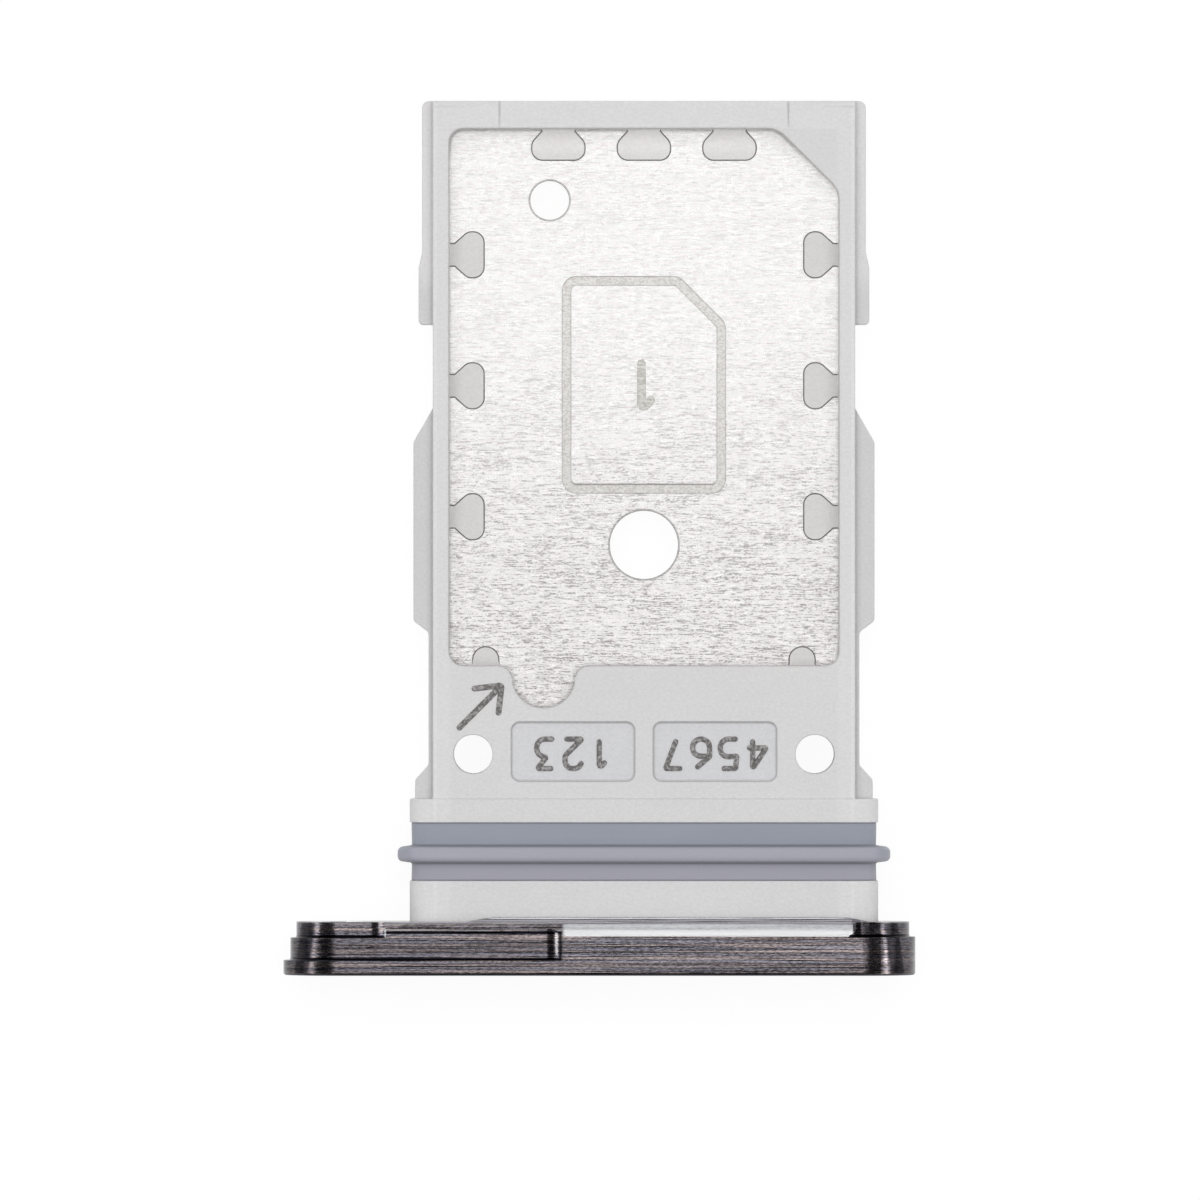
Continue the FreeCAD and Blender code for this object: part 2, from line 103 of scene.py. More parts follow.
class Socket:
    """A shader value that can stand in a Python expression, where each operator adds its Math node.

    The Math node's smooth minimum and maximum take a distance. Times a corner's radius, it is MERGE for an
    inner corner of 90 degrees and BLUNT for an outer one of 135. A ring's slope lies between the shares
    RING_TOP and RING_FOOT of its width.
    """

    MERGE = 1.17
    BLUNT = 0.30
    RING_TOP = 0.35
    RING_FOOT = 0.65

    def __init__(self, graph: "Graph", output: bpy.types.NodeSocket) -> None:
        """Keeps the node output and the graph that it belongs to.

        Args:
            graph: The graph that new nodes go into.
            output: The node output that holds the value.
        """
        self.graph = graph
        self.output = output

    def _maths(self, operation: str, *values: "Number") -> "Socket":
        """Adds one Math node.

        Args:
            operation: The Math node's operation.
            values: Its inputs in order.

        Returns:
            The node's result.
        """
        return self.graph.add("ShaderNodeMath", {"operation": operation}, dict(enumerate(values)))

    __add__, __radd__ = _operator("ADD"), _operator("ADD", swapped=True)
    __sub__, __rsub__ = _operator("SUBTRACT"), _operator("SUBTRACT", swapped=True)
    __mul__, __rmul__ = _operator("MULTIPLY"), _operator("MULTIPLY", swapped=True)
    highest, lowest = _operator("MAXIMUM"), _operator("MINIMUM")

    def __abs__(self) -> "Socket":
        """The size of self without its sign."""
        return self._maths("ABSOLUTE", self)

    def merged(self, other: "Number", radius: float) -> "Socket":
        """The smaller of self and other, with the corner between them rounded by about the radius."""
        return self._maths("SMOOTH_MIN", self, other, self.MERGE * radius)

    def cornered(self, other: "Number", radius: float) -> "Socket":
        """The larger of self and other, with a blunt corner between them rounded by about the radius."""
        return self._maths("SMOOTH_MAX", self, other, self.BLUNT * radius)

    def ring(self, place: float, width: float) -> "Socket":
        """1 in a soft band of a width round the place, and 0 elsewhere."""
        return abs(self - place).rise(self.RING_FOOT * width, self.RING_TOP * width)

    def sign(self) -> "Socket":
        """1 where self is above 0 and -1 where it is below."""
        return self._maths("SIGN", self)

    def sine(self) -> "Socket":
        """The sine of self, in radians."""
        return self._maths("SINE", self)

    def root(self) -> "Socket":
        """The square root of self."""
        return self._maths("SQRT", self)

    def rise(self, start: float, end: float) -> "Socket":
        """A smooth step.

        Args:
            start: The value where the result is 0.
            end: The value where the result is 1, which may be the smaller one.

        Returns:
            0 up to start, 1 from end on and a soft slope between.
        """
        below, above = (0.0, 1.0) if start < end else (1.0, 0.0)
        inputs = {0: self, 1: min(start, end), 2: max(start, end), 3: below, 4: above}
        return self.graph.add("ShaderNodeMapRange", {"interpolation_type": "SMOOTHSTEP"}, inputs)


Number = Union[float, Socket]


class Graph:
    """The node tree of one material or of the world."""

    def __init__(self, tree: bpy.types.NodeTree) -> None:
        """Empties the tree.

        Args:
            tree: The node tree to fill.
        """
        self.tree = tree
        tree.nodes.clear()

    def add(self, kind: str, settings: dict | None = None, inputs: dict | None = None,
            output: int | str = 0) -> Socket:
        """Adds a node of any kind.

        Args:
            kind: The node's type.
            settings: Its properties, set first.
            inputs: Values or Sockets for its inputs, by name or number.
            output: Which of its outputs is wanted.

        Returns:
            That output.
        """
        node = self.tree.nodes.new(kind)
        for name, value in (settings or {}).items():
            setattr(node, name, value)
        for name, value in (inputs or {}).items():
            if isinstance(value, Socket):
                self.tree.links.new(value.output, node.inputs[name])
            else:
                node.inputs[name].default_value = value
        return Socket(self, node.outputs[output] if len(node.outputs) else None)

    def place(self) -> tuple[Socket, Socket, Socket]:
        """Finds the surface point in the tray's frame.

        Returns:
            Its x, y and z in millimetres.
        """
        point = self.add("ShaderNodeTexCoord", output="Object")
        scaled = self.add("ShaderNodeMapping", {}, {"Vector": point, "Scale": (1 / MM,) * 3})
        return tuple(self.add("ShaderNodeSeparateXYZ", {}, {0: scaled}, axis) for axis in range(3))

    def grain(self, size: Sequence[float], detail: float = 2.0, shift: float = 0.0) -> Socket:
        """Noise in grains of a given size.

        Args:
            size: The grains' length along x, y and z, in millimetres.
            detail: How many finer layers the noise has.
            shift: Moves the pattern, so that two noises of one size differ.

        Returns:
            The noise, from about 0.2 to 0.8.
        """
        point = self.add("ShaderNodeTexCoord", output="Object")
        scale = tuple(1 / (MM * length) for length in size)
        inputs = {"Vector": point, "Scale": scale, "Location": (shift,) * 3}
        scaled = self.add("ShaderNodeMapping", {}, inputs)
        return self.add("ShaderNodeTexNoise", {}, {"Vector": scaled, "Scale": 1.0, "Detail": detail})

    @staticmethod
    def inside(across: Socket, along: Socket, half_width: float, half_length: float, radius: float) -> Socket:
        """The signed distance to a rounded rectangle round the origin, negative inside it.

        With q the distances beyond the corner circles' centres, it is the length of q's positive part
        plus q's larger component where both are negative, less the radius.

        Args:
            across: Place across the rectangle.
            along: Place along it.
            half_width: Half its width.
            half_length: Half its length.
            radius: Its corner radius.

        Returns:
            The distance.
        """
        beyond = abs(across) - (half_width - radius)
        past = abs(along) - (half_length - radius)
        outer = beyond.highest(0.0) * beyond.highest(0.0) + past.highest(0.0) * past.highest(0.0)
        return outer.root() + beyond.highest(past).lowest(0.0) - radius

    def blend(self, share: Number, first: Colour | Socket, second: Colour | Socket) -> Socket:
        """Mixes two colours.

        Args:
            share: How much of the second colour shows, from 0 to 1.
            first: The colour at 0.
            second: The colour at 1.

        Returns:
            The mixed colour.
        """
        ends = [(*end, 1.0) if isinstance(end, tuple) else end for end in (first, second)]
        settings = {"data_type": "RGBA"}
        return self.add("ShaderNodeMix", settings, {0: share, 6: ends[0], 7: ends[1]}, 2)

    def shade(self, colour: Socket, level: Number) -> Socket:
        """Multiplies a colour by a level.

        Args:
            colour: The colour to darken or lighten.
            level: The factor, 1 for no change.

        Returns:
            The changed colour.
        """
        return self.add("ShaderNodeVectorMath", {"operation": "SCALE"}, {0: colour, "Scale": level})

    def bump(self, height: Socket, depth: float) -> Socket:
        """Turns a height pattern into a normal.

        Args:
            height: The pattern, from 0 to 1.
            depth: Its relief in millimetres.

        Returns:
            The bent normal.
        """
        inputs = {"Height": height, "Distance": depth * MM, "Strength": 1.0}
        return self.add("ShaderNodeBump", {}, inputs, "Normal")

    def rays(self) -> tuple[Socket, Socket, Socket]:
        """1 or 0 for a ray from the camera, one from a mirroring surface and one that passed through."""
        return tuple(self.add("ShaderNodeLightPath", output=f"Is {kind} Ray")
                     for kind in ("Camera", "Glossy", "Transmission"))

    def close(self, kind: str, shader: Socket) -> None:
        """Joins a shader to the tree's output node of the given type."""
        self.add(kind, {}, {"Surface": shader})


@dataclass(frozen=True)
class Finish:
    """A surface finish. Each kind of finish paints its own material."""

    name: str

    def paint(self, graph: Graph) -> Socket:
        """Adds the finish's nodes and returns its shader."""
        raise NotImplementedError

    def material(self) -> bpy.types.Material:
        """Makes the Blender material of this finish.

        Returns:
            The new material.
        """
        material = bpy.data.materials.new(self.name)
        material.use_nodes = True
        graph = Graph(material.node_tree)
        graph.close("ShaderNodeOutputMaterial", self.paint(graph))
        return material


@dataclass(frozen=True)
class MouldedPlastic(Finish):
    """Pale filled nylon: the fine grain of its mould and darker keys, with painted shade on its rails, in its
    corners and along its window and ramp edges, and painted light on its rims, rear rails and keys.
    """

    name: str = "moulded plastic"
    colour: Colour = (0.728, 0.720, 0.722)
    key_colour: Colour = (0.665, 0.650, 0.640)
    window_colour: Colour = (0.698, 0.700, 0.716)
    seam_shadow_colour: Colour = (0.23, 0.22, 0.22)
    half_rim: float = 4.88
    rail_top: float = 0.42
    rail_shade_level: float = 0.92
    ramp_side: float = 3.34
    key_top: float = 0.075
    pocket_side: float = 4.50
    pocket_front: float = 7.16
    pocket_rear: float = 19.56
    window_centre: tuple[float, float] = (1.64, 5.17)
    window_half: tuple[float, float] = (1.43, 0.69)
    window_radius: float = 0.20
    window_floor: float = 0.675

    def paint(self, graph: Graph) -> Socket:
        """Adds the plastic's nodes.

        Args:
            graph: The material's graph.

        Returns:
            The shader.
        """
        x, y, z = graph.place()
        height = abs(z)
        side = abs(x)
        cloud = graph.grain((3.0, 2.2, 2.0), 3.0)
        flow = graph.grain((0.9, 0.28, 0.4), 2.0, 5.0)
        speck = graph.grain((0.075, 0.06, 0.06), 2.0)
        in_pocket = side.rise(self.pocket_side + 0.02, self.pocket_side - 0.01) \
            * y.rise(self.pocket_rear + 0.04, self.pocket_rear + 0.01) \
            * y.rise(self.pocket_front - 0.30, self.pocket_front - 0.28)
        key = height.rise(self.key_top + 0.03, self.key_top + 0.01) * in_pocket
        # Painted shadow on the sloped edge round each key, where the key meets the sheet.
        seam_shadow = height.rise(self.key_top - 0.0004, self.key_top - 0.006) * in_pocket
        window = graph.inside(side - self.window_centre[0], y - self.window_centre[1], *self.window_half,
                              self.window_radius)
        sunk = window.rise(0.0, -0.02) * abs(z - self.window_floor).rise(0.07, 0.05)
        # Painted shade along the inner edge of each window, at its floor and wall.
        line = abs(window + 0.015).rise(0.045, 0.010) * z.rise(self.window_floor - 0.05, self.window_floor)
        colour = graph.blend(sunk, graph.blend(key, self.colour, self.key_colour), self.window_colour)
        low = height.rise(self.rail_top + 0.06, self.rail_top + 0.03) * (1.0 - key)
        # Painted shade in the corner where each rail meets the rim's wall.
        corner = abs(side - self.half_rim - 0.02).rise(0.060, 0.015) * low
        # Painted highlight along the rim's rounded outer edge.
        lit_edge = abs(side - self.half_rim + 0.06).rise(0.05, 0.02) * height.rise(0.70, 0.74)
        level = 0.845 + 0.05 * cloud + 0.04 * flow + 0.22 * speck
        # Painted shade: the rails, which lie lower than the rim, are painted darker.
        level = level * (1.0 - (1.0 - self.rail_shade_level) * low) * (1.0 - 0.10 * corner - 0.20 * line)
        # Painted light: the rim tops and the rear bar are painted lighter than the rails.
        outer = side.rise(self.pocket_side - 0.1, self.pocket_side + 0.05).highest(
            y.rise(self.pocket_rear - 0.05, self.pocket_rear + 0.05)) * (1.0 - low)
        # Painted light: the rails are painted lighter over their rear stretch.
        rear_rail_light = low * y.rise(self.pocket_rear - 4.0, self.pocket_rear - 3.2)
        # Adds the painted highlights above, and painted light that lightens the keys.
        level = level * (1.0 + 0.045 * lit_edge + 0.040 * outer + 0.10 * key + 0.11 * rear_rail_light)
        # Painted light on the keys next to the rear wall, against the shade the wall casts on them.
        level = level * (1.0 + 0.26 * key * y.rise(self.pocket_rear - 0.9, self.pocket_rear - 0.1))
        # Painted shade along the sides of the rear bar's ramp.
        ramp_side_shade = abs(side - self.ramp_side).rise(0.045, 0.012) \
            * y.rise(self.pocket_rear, self.pocket_rear + 0.08)
        level = level * (1.0 - 0.14 * ramp_side_shade)
        seam_shadow = seam_shadow * (0.75 + 0.6 * flow)
        colour = graph.blend(seam_shadow.lowest(1.0), graph.shade(colour, level), self.seam_shadow_colour)
        relief = 0.6 * speck + 0.4 * flow
        return graph.add("ShaderNodeBsdfPrincipled", {}, {
            "Base Color": colour,
            "Roughness": 0.44 + 0.12 * speck,
            "IOR": 1.5,
            "Normal": graph.bump(relief, 0.0024),
        })


@dataclass(frozen=True)
class BrushedSteel(Finish):
    """Bright stainless sheet, brushed across the tray, with more scratches towards the front, where it is
    also painted darker as shade, and painted shade along its walls.
    """

    name: str = "brushed steel"
    colour: Colour = (1.0, 0.995, 0.990)
    scratch_colour: Colour = (0.36, 0.325, 0.325)
    coined_colour: Colour = (0.68, 0.655, 0.615)
    coined_light: Colour = (0.93, 0.915, 0.890)
    shade_colour: Colour = (0.36, 0.35, 0.35)
    edge_shadow_colour: Colour = (0.25, 0.24, 0.24)
    surface_height: float = 0.075
    coined_depth: float = 0.03
    half_pocket: float = 4.50
    pocket_front: float = 7.16
    pocket_rear: float = 19.56
    corner_radius: float = 0.33
    card_key: float = 1.42
    card_key_radius: float = 0.55
    notch_x: float = -2.32
    half_notch: float = 0.715
    notch_depth: float = 0.97
    notch_end: float = 0.70
    notch_mouth: float = 0.34
    holes: tuple[tuple[float, float, float], ...] = ((0.0, 9.95, 0.79), (-2.18, 17.92, 0.45))
    hole_edge: tuple[float, float] = (0.012, 0.060)
    mark_centre: tuple[float, float] = (0.0, 13.65)
    mark_half: tuple[float, float] = (1.89, 2.505)
    mark_radius: float = 0.33
    mark_key: float = 1.08
    mark_line: float = 0.20

    def _wall(self, x: Socket, y: Socket, z: Socket) -> Socket:
        """The signed distance to the pocket's outline, negative inside it.

        Args:
            x: Place across the tray.
            y: Place along it.
            z: Height, whose sign tells the pockets apart.

        Returns:
            The distance.
        """
        side = x * z.sign()
        middle = (self.pocket_front + self.pocket_rear) / 2
        half = (self.pocket_rear - self.pocket_front) / 2
        pocket = Graph.inside(side, y - middle, self.half_pocket, half, self.corner_radius)
        reach = self.half_pocket + self.pocket_rear - self.card_key
        pocket = pocket.cornered((side + y - reach) * math.sqrt(0.5), self.card_key_radius)
        notch = Graph.inside(side - self.notch_x, y - self.pocket_front, self.half_notch, self.notch_depth,
                             self.notch_end)
        return pocket.merged(notch, self.notch_mouth)

    def _mark(self, x: Socket, y: Socket, z: Socket) -> Socket:
        """The signed distance to the outer edge of the coined card outline, negative inside it.

        Args:
            x: Place across the tray.
            y: Place along it.
            z: Height, whose sign tells the pockets apart.

        Returns:
            The distance.
        """
        side = x * z.sign()
        along = y - self.mark_centre[1]
        card = Graph.inside(side, along, *self.mark_half, self.mark_radius)
        key = (side + along - (sum(self.mark_half) - self.mark_key)) * math.sqrt(0.5)
        return card.cornered(key, self.mark_radius)

    def _hole_edges(self, x: Socket, y: Socket) -> Socket:
        """The narrow shaded edge round each hole.

        Args:
            x: Place across the tray.
            y: Place along it.

        Returns:
            1 in the edges and 0 elsewhere.
        """
        out, width = self.hole_edge
        edges = []
        for across, along, radius in self.holes:
            side, past = x - across, y - along
            edges.append((side * side + past * past).root().ring(radius + out, width))
        return edges[0].highest(edges[1])

    def paint(self, graph: Graph) -> Socket:
        """Adds the steel's nodes.

        Args:
            graph: The material's graph.

        Returns:
            The shader.
        """
        x, y, z = graph.place()
        # Real wear and painted shade: towards the front the sheet has more scratches and is painted darker,
        # standing for its fading reflection.
        worn = y.rise(self.pocket_rear - 3.0, self.pocket_front + 0.5)
        dashes = graph.grain((0.15, 0.026, 0.05), 2.0)
        hairs = graph.grain((0.75, 0.024, 0.03), 2.0, 9.0)
        pits = graph.grain((0.055, 0.032, 0.1), 1.0, 14.0)
        patches = graph.grain((1.5, 0.45, 0.5), 3.0, 3.0)
        strokes = graph.grain((1.1, 0.034, 0.05), 2.0, 33.0).rise(0.38, 0.62)
        marks = (0.40 * dashes + 0.26 * hairs + 0.10 * patches + 0.24 * pits).rise(0.485, 0.60)
        scratches = marks * (0.22 + 0.58 * worn)
        colour = graph.blend(scratches, self.colour, self.scratch_colour)
        hue = graph.grain((0.22, 0.09, 0.1), 2.0, 21.0).rise(0.36, 0.64)
        tint = graph.blend(hue * (1.0 - 0.45 * worn), (1.0, 0.968, 0.970), (0.985, 1.0, 0.984))
        colour = graph.add("ShaderNodeVectorMath", {"operation": "MULTIPLY"}, {0: colour, 1: tint})
        lower = abs(z).rise(self.surface_height - 0.3 * self.coined_depth,
                            self.surface_height - 0.7 * self.coined_depth)
        coined = graph.blend(pits.rise(0.36, 0.64), self.coined_colour, self.coined_light)
        colour = graph.blend(lower * 0.90, colour, coined)
        mark = self._mark(x, y, z)
        # Painted shade along both edges of the coined outline, with a wider painted shade inside its front
        # stretch.
        rims = mark.ring(0.0, 0.035).highest(mark.ring(-self.mark_line, 0.035))
        coined_edge_shade = rims * (0.03 + 0.22 * pits) + mark.ring(-self.mark_line - 0.015, 0.05) \
            * y.rise(self.mark_centre[1] - 2.2, self.mark_centre[1] - 2.3) * 0.45
        colour = graph.blend(coined_edge_shade.lowest(1.0), colour, self.scratch_colour)
        # Painted shade along the foot of the pocket's walls, strongest at the rear wall and then the left
        # wall.
        foot = self._wall(x, y, z).rise(-0.075, -0.015)
        behind = y.rise(self.pocket_rear - 0.9, self.pocket_rear - 0.2)
        left = x.rise(1.0, -1.0)
        shade = 0.03 + 0.13 * left + 0.45 * behind
        colour = graph.blend(foot * shade * (0.6 + 0.8 * dashes), colour, self.shade_colour)
        colour = graph.blend(self._hole_edges(x, y) * (0.45 + 0.5 * pits), colour, self.shade_colour)
        # Painted shadow on the sheet's rounded top edges, round its keys, holes and pocket, and on the middle
        # of its cut walls.
        cut = abs(z).rise(self.surface_height - 0.001, self.surface_height - 0.010) * (1.0 - lower)
        cut = cut + abs(z).rise(self.surface_height - self.coined_depth - 0.004,
                                self.surface_height - self.coined_depth - 0.010)
        colour = graph.blend(cut.lowest(1.0) * 0.95, colour, self.edge_shadow_colour)
        relief = 0.6 * dashes + 0.4 * hairs
        # The Base Color's level falls towards the front: painted shade.
        return graph.add("ShaderNodeBsdfPrincipled", {}, {
            "Base Color": graph.shade(colour, 0.985 + 0.030 * strokes - 0.092 * worn),
            "Metallic": (0.20 + 0.32 * strokes + 0.15 * scratches) * (1.0 - 0.7 * lower),
            "Roughness": 0.20 + 0.20 * dashes + 0.2 * lower,
            "Normal": graph.bump(relief, 0.0045),
        })


@dataclass(frozen=True)
class SiliconeRubber(Finish):
    """Blue-grey silicone, satin, with a trace of dust, a painted highlight on its ridge's crest and painted
    shade at the ridge's foot and at the ring's ends.
    """

    name: str = "silicone rubber"
    colour: Colour = (0.325, 0.345, 0.405)
    crest_highlight_colour: Colour = (0.405, 0.405, 0.470)
    front_colour: Colour = (0.380, 0.376, 0.438)
    crest_height: float = 1.02
    front: float = 2.19
    rear: float = 3.53
    ridge: tuple[float, float] = (2.60, 3.00)

    def paint(self, graph: Graph) -> Socket:
        """Adds the rubber's nodes.

        Args:
            graph: The material's graph.

        Returns:
            The shader.
        """
        x, y, z = graph.place()
        cloud = graph.grain((2.6, 0.5, 0.8), 3.0)
        dust = graph.grain((0.05, 0.04, 0.05), 2.0)
        # Painted highlight on the ridge's crest.
        crest = abs(z).rise(self.crest_height - 0.12, self.crest_height + 0.05)
        colour = graph.blend(crest, self.colour, self.crest_highlight_colour)
        colour = graph.blend(y.rise(self.ridge[1], self.ridge[0]) * (1.0 - crest), colour, self.front_colour)
        # Painted shade in two lines along the foot of the ridge.
        foot = abs(y - self.ridge[0]).rise(0.055, 0.015).highest(abs(y - self.ridge[1]).rise(0.050, 0.012))
        # Painted shade at the ring's front and rear ends.
        end = y.rise(self.front + 0.05, self.front + 0.01).highest(y.rise(self.rear - 0.06, self.rear - 0.01))
        level = (0.90 + 0.12 * cloud + 0.08 * dust) * (1.0 - 0.38 * foot) * (1.0 - 0.16 * end)
        return graph.add("ShaderNodeBsdfPrincipled", {}, {
            "Base Color": graph.shade(colour, level),
            "Roughness": 0.46 + 0.14 * dust,
            "IOR": 1.43,
            "Sheen Weight": 0.15,
            "Normal": graph.bump(dust, 0.0016),
        })


@dataclass(frozen=True)
class AnodisedAluminium(Finish):
    """Dark anodised aluminium: blasted in front and turned round its edge, with its rear chamfer painted near
    white, standing for both freshly cut metal and the bright light it mirrors.

    The bands and bright lines at its ends and steps stand for what the real plate mirrors from above. They
    are part of the colour, so they keep their place from any side.
    """

    name: str = "anodised aluminium"
    warm: Colour = (0.300, 0.245, 0.235)
    cool: Colour = (0.165, 0.168, 0.210)
    face: Colour = (0.050, 0.047, 0.062)
    bare_and_highlight: Colour = (0.93, 0.945, 0.97)
    lip: Colour = (0.28, 0.275, 0.295)
    shade: Colour = (0.006, 0.006, 0.009)
    left_step: tuple[float, float] = (-1.90, 0.35)
    left_corner: tuple[float, float] = (-5.98, 0.87)
    right_step: tuple[float, float] = (4.71, 0.89)
    turning_pitch: float = 0.16
    face_depth: float = 0.06
    hole_x: float = -7.10
    hole_radius: float = 0.61
    chamfer_reach: float = 2.17
    chamfer_right: float = 4.80
    block_shade: tuple[float, float] = (4.90, 0.20)
    middle: float = -1.03
    end_band: tuple[float, float] = (6.90, 0.36)
    end_lean: float = 0.14
    glint: tuple[float, float] = (5.54, 0.16)
    lip_rear: float = 1.35
    rim_heights: tuple[float, float] = (1.03, 1.05)
    # Where a painted shade line crosses the top of the plate's left part.
    groove: float = 0.995
    dotted_line: float = 1.055
    back: float = 1.24
    ledge_level: float = 1.00

    @staticmethod
    def _foot(x: Socket, y: Socket, step: tuple[float, float], side: int) -> Socket:
        """The painted shade in the inner corner at the foot of one of the plate's steps.

        Args:
            x: Place along the plate.
            y: Place behind its outer face.
            step: Where the step ends along the plate, and how far behind the face it starts.
            side: The end of the plate that the step is on.

        Returns:
            1 in the corner and 0 elsewhere.
        """
        stop, start = step
        return abs(y - start - 0.030).rise(0.046, 0.026) * x.rise(stop - side * 0.06, stop + side * 0.03)

    def paint(self, graph: Graph) -> Socket:
        """Adds the metal's nodes.

        Args:
            graph: The material's graph.

        Returns:
            The shader.
        """
        x, y, z = graph.place()
        drift = graph.grain((3.5, 0.12, 3.5), 2.0)
        turns = (y * (2 * math.pi / self.turning_pitch) + 9.0 * drift).sine() * 0.5 + 0.5
        ticks = graph.grain((0.11, 0.028, 0.3), 2.0, 4.0)
        lines = graph.grain((7.0, 0.026, 7.0), 2.0, 8.0)
        tint = graph.blend(0.65 * turns + 0.35 * lines, self.cool, self.warm)
        edge = graph.shade(tint, 0.10 + 0.70 * lines.rise(0.34, 0.62) + 0.85 * ticks.rise(0.36, 0.66))
        blasted = graph.grain((0.035, 0.035, 0.035), 2.0)
        front = y.rise(self.face_depth, self.face_depth - 0.04)
        raised = x.rise(self.left_step[0] + 0.10, self.left_step[0] - 0.02)
        # Painted reflections: the turned edge is painted darker between the left part's two steps and over
        # the front layer, and a glint is painted on the right end.
        between = raised * y.ring((self.left_step[1] + self.left_corner[1]) / 2, 0.52)
        first_layer = y.rise(self.left_step[1] - 0.02, self.left_step[1] - 0.07)
        painted_reflection_level = (1.06 - 0.27 * between) * (1.0 - 0.24 * first_layer) * (1.0 + x.ring(*self.glint))
        edge = graph.shade(edge, painted_reflection_level)
        face = graph.blend(blasted, *(tuple(level * part for part in self.face) for level in (0.8, 1.2)))
        colour = graph.blend(front, edge, face)
        ledge = y.rise(self.chamfer_reach - self.ledge_level, self.chamfer_reach - self.ledge_level + 0.02) \
            * abs(z).rise(self.ledge_level + 0.04, self.ledge_level + 0.01)
        worn = graph.grain((0.12, 0.05, 0.2), 2.0, 11.0)
        colour = graph.blend(ledge * (0.55 + 0.45 * worn), colour, self.lip)
        # Painted highlight along the rear edge of the lip.
        lip_rear_highlight = y.rise(self.lip_rear - 0.045, self.lip_rear - 0.015)
        colour = graph.blend(ledge * lip_rear_highlight * 0.8, colour, self.bare_and_highlight)
        # Painted shade in the corners at the foot of the steps.
        foot = self._foot(x, y, self.left_step, -1).highest(self._foot(x, y, self.left_corner, -1)) \
            .highest(self._foot(x, y, self.right_step, 1))
        rim = raised * abs(z).rise(*self.rim_heights)
        # Painted shade: a dark line across the top of the plate's left part, at the foot of a step.
        band = abs(y - self.groove).rise(0.040, 0.022) * rim
        dots = abs(y - self.dotted_line).rise(0.034, 0.015) * rim * worn.rise(0.35, 0.55)
        top = y.rise(self.back - 0.22, self.back - 0.27)
        end, start = self.left_step
        # Painted reflection: a dark line along the end of the left step.
        outline = x.ring(end - 0.035, 0.08) * y.rise(start + 0.02, start + 0.06) * top
        block = x.ring(*self.block_shade) * y.rise(self.right_step[1], self.right_step[1] + 0.03)
        dark = foot.highest(band).highest(0.85 * outline).highest(block * (0.62 - 0.35 * ticks))
        past = abs(x - self.middle) + self.end_lean * y
        outer = past.rise(self.end_band[0], self.end_band[0] + 0.1)
        ends = (0.88 * past.ring(*self.end_band)).highest(0.55 * outer)
        dark = dark.highest(ends * (1.0 - front) * y.rise(self.back - 0.01, self.back - 0.04))
        colour = graph.blend(dark, colour, self.shade)
        colour = graph.blend(dots * 0.7, colour, self.lip)
        away = ((x - self.hole_x) * (x - self.hole_x) + z * z).root()
        drilled = away.rise(self.hole_radius + 0.01, self.hole_radius - 0.01)
        # The chamfer is painted near white, standing for freshly cut metal and for the bright light it
        # mirrors.
        chamfer = abs(abs(z) + y - self.chamfer_reach).rise(0.030, 0.012) \
            * abs(z).rise(self.ledge_level - 0.02, self.ledge_level + 0.01) * (1.0 - raised) \
            * x.rise(self.chamfer_right + 0.04, self.chamfer_right)
        cut = drilled.highest(chamfer)
        relief = (0.5 * turns + 0.5 * lines) * (1.0 - front) + 0.25 * blasted * front
        # Painted highlight and shade on the chamfer: lighter along its front edge, darker towards its rear.
        upper = y.rise(self.ledge_level - 0.02, self.back - 0.15)
        chamfer_highlighted = graph.shade(graph.blend(cut, colour, self.bare_and_highlight),
                              1.0 + chamfer * (0.30 - upper * (0.38 + 0.16 * (1.0 - ticks.rise(0.3, 0.6)))))
        # Painted highlights: bright lines at the ends of the plate's steps.
        edges = x.ring(end - 0.125, 0.06) * top * 0.45 * y.rise(start + 0.10, start + 0.16)
        for place, behind in (self.left_corner, self.right_step):
            edges = edges.highest(x.ring(place, 0.05) * y.rise(behind, behind + 0.03))
        edges = edges * (0.35 + 0.65 * ticks.rise(0.40, 0.60)) * y.rise(self.back - 0.12, self.back - 0.17)
        return graph.add("ShaderNodeBsdfPrincipled", {}, {
            "Base Color": graph.blend(edges * 0.75, chamfer_highlighted, self.bare_and_highlight),
            "Metallic": 1.0 - 0.45 * chamfer,
            "Roughness": 0.17 + 0.09 * ticks + 0.20 * front + 0.20 * chamfer,
            "Normal": graph.bump(relief, 0.010),
        })


@dataclass(frozen=True)
class EtchedMark(Finish):
    """The dull beige of a mark etched into the sheet."""

    name: str = "etched mark"
    colour: Colour = (0.56, 0.535, 0.490)

    def paint(self, graph: Graph) -> Socket:
        """Adds the mark's nodes.

        Args:
            graph: The material's graph.

        Returns:
            The shader.
        """
        dashes = graph.grain((0.09, 0.045, 0.05), 2.0)
        colour = graph.blend(dashes.rise(0.30, 0.72), self.colour, (0.86, 0.845, 0.81))
        return graph.add("ShaderNodeBsdfPrincipled", {}, {
            "Base Color": colour,
            "Metallic": 0.2,
            "Roughness": 0.5 + 0.2 * dashes,
            "Normal": graph.bump(dashes, 0.003),
        })


@dataclass(frozen=True)
class MouldedCharacter(Finish):
    """Small raised characters on the frame, painted dark as the shade on their narrow strokes, with lighter
    patches.
    """

    name: str = "moulded character in painted shade"
    colour: Colour = (0.150, 0.142, 0.140)

    def paint(self, graph: Graph) -> Socket:
        """Adds the characters' nodes.

        Args:
            graph: The material's graph.

        Returns:
            The shader.
        """
        worn = graph.grain((0.07, 0.07, 0.07), 2.0)
        colour = graph.blend(worn.rise(0.40, 0.68), self.colour, (0.40, 0.39, 0.385))
        return graph.add("ShaderNodeBsdfPrincipled", {}, {
            "Base Color": colour,
            "Roughness": 0.45 + 0.2 * worn,
            "Normal": graph.bump(worn, 0.002),
        })


